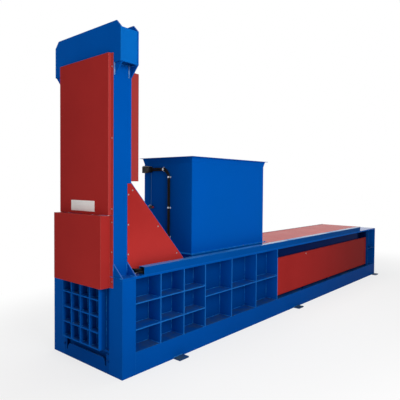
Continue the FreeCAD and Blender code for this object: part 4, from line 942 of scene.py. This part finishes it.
def upper_sensor():
    """Housing with a raised lid and two glands."""
    depth, height, middle_y = 0.072, 0.094, (UPPER_SIDE + UPPER_FAR_SIDE) / 2
    gland_radius, gland_length, gland_y = 0.0165, 0.020, UPPER_SIDE - 0.009

    def lid(middle, normal):
        """The lid's raised field, with the rim above and below it."""
        return normal.x < -0.9 and abs(middle.y - middle_y) < 0.03

    case = bar((depth, UPPER_FAR_SIDE - UPPER_SIDE, height), on_wall(depth / 2, middle_y, UPPER_Z))
    ridged(case, looks(FORWARD), 0.009, 0.004)
    ridged(case, lid, 0.02, -0.003)
    soften(case, 0.006, 3)
    gland = disc(gland_radius, gland_length, on_wall(CONDUIT_OUT, gland_y, UPPER_Z), NEAR, 6)
    narrow_end(gland, NEAR, 0.003, 0.004)
    glands = repeated(gland, [Matrix.Translation((0, 0, rise)) for rise in PAIR])
    whole = seat(joined([case, glands]), "upper_fill_sensor", black_plastic)
    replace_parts(whole, "fill_sensors")


def lower_sensor():
    """Small block sensor with a red cap."""
    case_out, case_y, cap_out, cap_y, cap_drop = 0.019, 0.343, 0.020, 0.302, 0.004
    cap_radius, cap_length = 0.017, 0.022
    case = bar((0.034, 0.058, 0.050), on_wall(case_out, case_y, LOWER_Z))
    ridged(case, looks(FORWARD), 0.006, -0.002)
    soften(case, 0.004, 3)
    seat(case, "lower_fill_sensor", black_plastic)
    cap = disc(cap_radius, cap_length, on_wall(cap_out, cap_y, LOWER_Z - cap_drop), NEAR, 20)
    narrow_end(cap, NEAR, 0.004, 0.002)
    soften(cap, 0.0015)
    seat(cap, "lower_sensor_cap", red_plastic)


def brackets():
    """Folded plates that carry both sensors, with their screws."""
    upper_y, upper_rise, lower_out, lower_y = 0.410, 0.0485, 0.0018, 0.376
    screw_rise, screw_out = 0.0495, 0.0125  # just inside the brackets' faces
    upper = bar((0.078, 0.120, 0.0025), on_wall(0.039, upper_y, UPPER_Z + upper_rise))
    soften(upper, 0.0008, 1)
    lower = bar((0.003, 0.062, 0.056), on_wall(lower_out, lower_y, LOWER_Z))
    ridged(lower, looks(FORWARD), 0.010, 0.010)
    soften(lower, 0.001)
    seat(joined([upper, lower]), "sensor_brackets", bright_zinc)
    places = [(on_wall(0.05, y, UPPER_Z + screw_rise), UP) for y in (0.37, 0.41, 0.45)]
    places += [(on_wall(screw_out, y, LOWER_Z + 0.012), FORWARD) for y in (0.385, 0.400)]
    screws("sensor_screws", SENSOR_SCREW, places)


def route(outward):
    """Points of one conduit, down the hopper's front wall beside the pair's middle."""
    knee_y, fall = KNEE
    start_y, foot_gap = 0.326, 0.008
    straight = 0.058  # kept straight before and after the bend
    slope = math.atan2(fall, knee_y - CONDUIT_Y)
    first = outward * math.tan(slope / 2)
    second = outward * math.tan((math.pi / 2 - slope) / 2)
    level, upright = UPPER_Z + outward, CONDUIT_Y - outward
    bend_y, bend_z = knee_y - first, UPPER_Z - fall + second
    across_and_up = [(start_y, level), (bend_y + straight, level), (bend_y, level), (upright, bend_z),
                     (upright, bend_z - straight), (upright, HOPPER_FOOT + foot_gap)]
    return [on_wall(CONDUIT_OUT, y, z) for y, z in across_and_up]


def line(name, points, radius=0.0):
    """Smooth curve on given points; with a radius it is a round cable."""
    data = bpy.data.curves.new(name, "CURVE")
    data.dimensions = "3D"
    data.resolution_u = 16
    data.bevel_depth = radius
    data.bevel_resolution = 6
    data.use_fill_caps = radius > 0
    spline = data.splines.new("NURBS")
    spline.points.add(len(points) - 1)
    for point, place in zip(spline.points, points):
        point.co = (*place, 1)
    spline.order_u = 3
    spline.use_endpoint_u = True
    curve = bpy.data.objects.new(name, data)
    bpy.context.scene.collection.objects.link(curve)
    return curve


def cable(name, points, diameter, material):
    """Round cable on a smooth line, made a mesh."""
    alone(line(name, points, diameter / 2))
    bpy.ops.object.convert(target="MESH")
    bpy.ops.object.shade_smooth()
    return seat(bpy.context.object, name, material)


def ribbed_ring(groove):
    """One rib of the conduit along X: an open tube, swollen in its middle."""
    ring = fresh(bpy.ops.mesh.primitive_cylinder_add, vertices=14, radius=CONDUIT / 2 * groove,
                 depth=RING_PITCH, end_fill_type="NOTHING", rotation=(0, math.pi / 2, 0),
                 location=(RING_PITCH / 2, 0, 0))
    edit("VERT", "SELECT")
    bpy.ops.mesh.subdivide(number_cuts=1)
    leave()
    pick_points(ring, lambda place: abs(place.x - RING_PITCH / 2) < RING_PITCH * 0.3)
    bpy.ops.transform.resize(value=(1, 1 / groove, 1 / groove))
    leave()
    return ring


def corrugated(name, points):
    """Ribbed conduit: one rib, repeated along its route and bent to it."""
    curve = line(name + "_route", points)
    ring = ribbed_ring(groove=0.84)
    array = ring.modifiers.new("rings", "ARRAY")
    array.count = round(curve.data.splines[0].calc_length() / RING_PITCH)
    array.relative_offset_displace = REARWARD
    array.use_merge_vertices = True
    array.merge_threshold = RING_PITCH / 50
    bend = ring.modifiers.new("bend", "CURVE")
    bend.object = curve
    bend.deform_axis = "POS_X"
    for modifier in (array, bend):
        bpy.ops.object.modifier_apply(modifier=modifier.name)
    edit("VERT", "SELECT")
    bpy.ops.mesh.fill_holes(sides=0)
    leave()
    bpy.ops.object.shade_smooth_by_angle(angle=math.radians(60))
    discard(curve)
    return seat(ring, name, black_conduit)


def sensor_lines():
    """Two ribbed conduits side by side, and the lower sensor's thin lead."""
    pair = [corrugated("sensor_conduit_%d" % (i + 1), route(outward)) for i, outward in enumerate(PAIR)]
    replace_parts(pair[0], "sensor_conduit")
    foot, top = low("fill_sensors").z, UPPER_Z
    points = [on_wall(0.018, 0.345, foot + 0.050), on_wall(0.012, 0.350, foot + 0.110),
              on_wall(0.010, 0.355, foot + 0.260), on_wall(0.010, 0.351, top - 0.230),
              on_wall(0.010, 0.353, top - 0.120), on_wall(0.010, 0.353, top - 0.046)]
    cable("lower_sensor_lead", points, 0.008, lead_sheath)


def saddle(width, ear, thick):
    """Strap over both upright conduits at the wall's origin, with an ear at each end."""
    depth, crown = 0.026, 0.72
    rise = CONDUIT_OUT + CONDUIT / 2 + 0.002
    strap = bar((rise, width, depth), on_wall(rise / 2, 0, 0))
    pick(strap, looks(FORWARD))
    bpy.ops.transform.resize(value=(1, crown, 1))
    leave()
    soften(strap, 0.004, 3)
    ears = bar((thick, width + 2 * ear, depth), on_wall(thick / 2, 0, 0))
    soften(ears, 0.0008, 1)
    return joined([strap, ears])


def conduit_saddles():
    """Three straps down the upright run and one on the level run, with their screws."""
    width, ear, thick = 0.054, 0.007, 0.0025
    places = [(CONDUIT_Y, UPPER_Z - drop, False) for drop in (0.124, 0.603, 1.060)]
    places.append((0.073, UPPER_Z, True))
    matrices = [Matrix.Translation((0, y, z)) @ Matrix.Rotation(math.pi / 2 if level else 0, 4, "X")
                for y, z, level in places]
    straps = repeated(saddle(width, ear, thick), matrices)
    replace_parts(seat(straps, "conduit_saddles", bright_zinc), "conduit_clips")
    reach = (width + ear) / 2
    spots = []
    for y, z, level in places:
        for way in SIDES:
            spot = (y, z + way * reach) if level else (y + way * reach, z)
            spots.append((on_wall(thick, *spot), FORWARD))
    screws("saddle_screws", STRAP_SCREW, spots)


def hoses():
    """Two hydraulic hoses out of the duct's open end, round into the guard."""
    duct_half, diameter = 0.050, 0.030
    duct_y, duct_z = -HALF_WIDTH + duct_half, DECK_TOP + duct_half  # its middle
    start_x = high("side_duct").x - 0.004
    guard_y = -COLUMN_FACE - 0.005
    pair = []
    for number, (dy, dz) in enumerate(((-0.014, -0.018), (0.014, 0.012))):
        y, z = duct_y + dy, duct_z + dz
        turn_x = TOWER_REAR + 0.014 - dy
        points = [(start_x, y, z), (FRONT + 4.0, y, z), (FRONT + 1.2, y, z), (turn_x + 0.19, y, z),
                  (turn_x, y, z), (turn_x, guard_y, z)]
        pair.append(cable("duct_hose_%d" % (number + 1), points, diameter, hose_rubber))
    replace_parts(pair[0], "duct_hoses")


upper_sensor()
lower_sensor()
brackets()
sensor_lines()
conduit_saddles()
hoses()


# ---------------- trim
def blank_plate():
    """Plain off-white plate on the upper front cover."""
    thick, width, height = 0.0016, 0.518, 0.137
    middle_y, middle_z = 0.004, 2.0985
    plate = bar((thick, width, height), (low("front_cover_upper").x - thick / 2, middle_y, middle_z))
    ridged(plate, looks(FORWARD), 0.003, 0.0004)
    soften(plate, 0.0003)
    seat(plate, "blank_plate", off_white)


def duct_lid():
    """Folded lid on the cable duct, in lengths that butt together."""
    count, gap, lip, thick = 4, 0.0015, 0.014, 0.0015
    first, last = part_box("side_duct")
    pitch = (last.x - first.x) / count
    length, width = pitch - gap, last.y - first.y
    middle_x, middle_y = first.x + pitch / 2, (first.y + last.y) / 2
    top = bar((length, width + 2 * thick, thick), (middle_x, middle_y, last.z + thick / 2))
    pick(top, lambda middle, normal: abs(normal.y) > 0.9)
    raise_faces(0.0012)
    bpy.ops.transform.translate(value=(0, 0, -0.0002))
    leave()
    parts = [soften(top, 0.0006)]
    for side in SIDES:
        fold_y = middle_y + side * (width / 2 + thick)
        fold = bar((length, thick, lip), (middle_x, fold_y, last.z - lip / 2))
        parts.append(soften(fold, 0.0004, 1))
    lids = repeated(joined(parts), [Matrix.Translation((pitch * i, 0, 0)) for i in range(count)])
    seat(lids, "duct_lid", blue_duct)


def far_edge_strip():
    """Angle strip on the deck along the covers' far edge."""
    thick, gap, width, proud = 0.004, 0.002, 0.032, 0.006
    first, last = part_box("cylinder_covers")
    length, middle, near_y = last.x - first.x, (first.x + last.x) / 2, last.y + gap
    web_foot, web_top = DECK_TOP + thick, last.z + proud
    web_middle = (web_top + web_foot) / 2
    foot = bar((length, width, thick), (middle, near_y + width / 2, DECK_TOP + thick / 2))
    web = bar((length, thick, web_top - web_foot), (middle, near_y + thick / 2, web_middle))
    whole = joined([soften(foot, 0.001), soften(web, 0.001)])
    seat(whole, "far_edge_strip", strip_enamel)


blank_plate()
duct_lid()
far_edge_strip()


# ---------------- camera
def lens():
    """The photograph's own viewpoint, as one pinhole camera."""
    place = Vector((-7.66765, -4.85342, 2.38902))
    yaw, pitch, roll = 0.71841, -0.02805, 0.00714
    picture = 400  # pixels, each way
    focal, centre_x, centre_y = 437.364, 194.8, 196.389  # pixels
    film = 36.0  # millimetres
    ahead = Vector((math.cos(yaw) * math.cos(pitch), math.sin(yaw) * math.cos(pitch), math.sin(pitch)))
    level = Vector((math.sin(yaw), -math.cos(yaw), 0))
    above = level.cross(ahead)
    right = math.cos(roll) * level + math.sin(roll) * above
    up = math.cos(roll) * above - math.sin(roll) * level
    bpy.ops.object.camera_add()
    camera = bpy.context.object
    camera.name = "viewpoint"
    turn = Matrix((right, up, -ahead)).transposed().to_4x4()
    camera.matrix_world = Matrix.Translation(place) @ turn
    camera.data.sensor_width = film
    camera.data.lens = focal * film / picture
    camera.data.shift_x = (picture / 2 - centre_x) / picture
    camera.data.shift_y = (centre_y - picture / 2) / picture
    camera.data.clip_end = 200
    bpy.context.scene.camera = camera


# ---------------- studio
def lamp(name, place, target, size, power):
    """Soft square lamp that no gloss shows."""
    bpy.ops.object.light_add(type="AREA", location=place)
    light = bpy.context.object
    light.name = name
    light.data.size = size
    light.data.energy = power
    light.visible_glossy = False
    aim = (Vector(target) - Vector(place)).to_track_quat("-Z", "Y")
    light.rotation_euler = aim.to_euler()


def pale_floor():
    """White to the eye, less so under the machine, where its shadow is kept."""
    bpy.ops.mesh.primitive_plane_add(size=120, location=(0, 0, 0))
    floor = bpy.context.object
    floor.name = "studio_floor"
    shadow, shadow_from, shadow_to = 0.28, 3.8, 7.0
    pale = Finish("studio_floor", Base_Color=(0.9, 0.9, 0.9, 1), Roughness=0.9, Specular_IOR_Level=0.0)
    away = pale.add("ShaderNodeVectorMath", {"operation": "LENGTH"}, {0: pale.place((0.75, 1.5, 1))},
                    "Value")
    share = pale.open_view() * (1 - shadow + away.between(shadow_from, shadow_to) * shadow)
    glow = pale.add("ShaderNodeEmission", {}, {"Color": (1, 1, 1, 1), "Strength": 1.0})
    lit = Value(pale, pale.shader.outputs[0])
    mixed = pale.add("ShaderNodeMixShader", {}, {0: share, 1: lit, 2: glow})
    pale.feed(pale.tree.nodes["Material Output"].inputs["Surface"], mixed)
    floor.data.materials.append(pale.material)


def white_surround():
    """World that shows white and gives a weak, even light."""
    fill = 0.26
    world = bpy.data.worlds.new("studio_surround")
    bpy.context.scene.world = world
    world.use_nodes = True
    sky = Nodes(world.node_tree)
    back = sky.tree.nodes["Background"]
    sky.feed(back.inputs["Color"], (1, 1, 1, 1))
    sky.feed(back.inputs["Strength"], sky.open_view() * (1 - fill) + fill)


lens()
pale_floor()
white_surround()
lamp("key_lamp", (-5.0, -10.0, 6.0), (-2.5, 0.0, 1.6), 5.0, 560)
lamp("front_lamp", (-13.0, -1.0, 6.0), (-3.0, 0.0, 1.5), 6.0, 170)
lamp("top_lamp", (0.0, 1.0, 13.0), (0.0, 0.0, 0.0), 9.0, 560)
bpy.context.scene.view_settings.view_transform = "Standard"
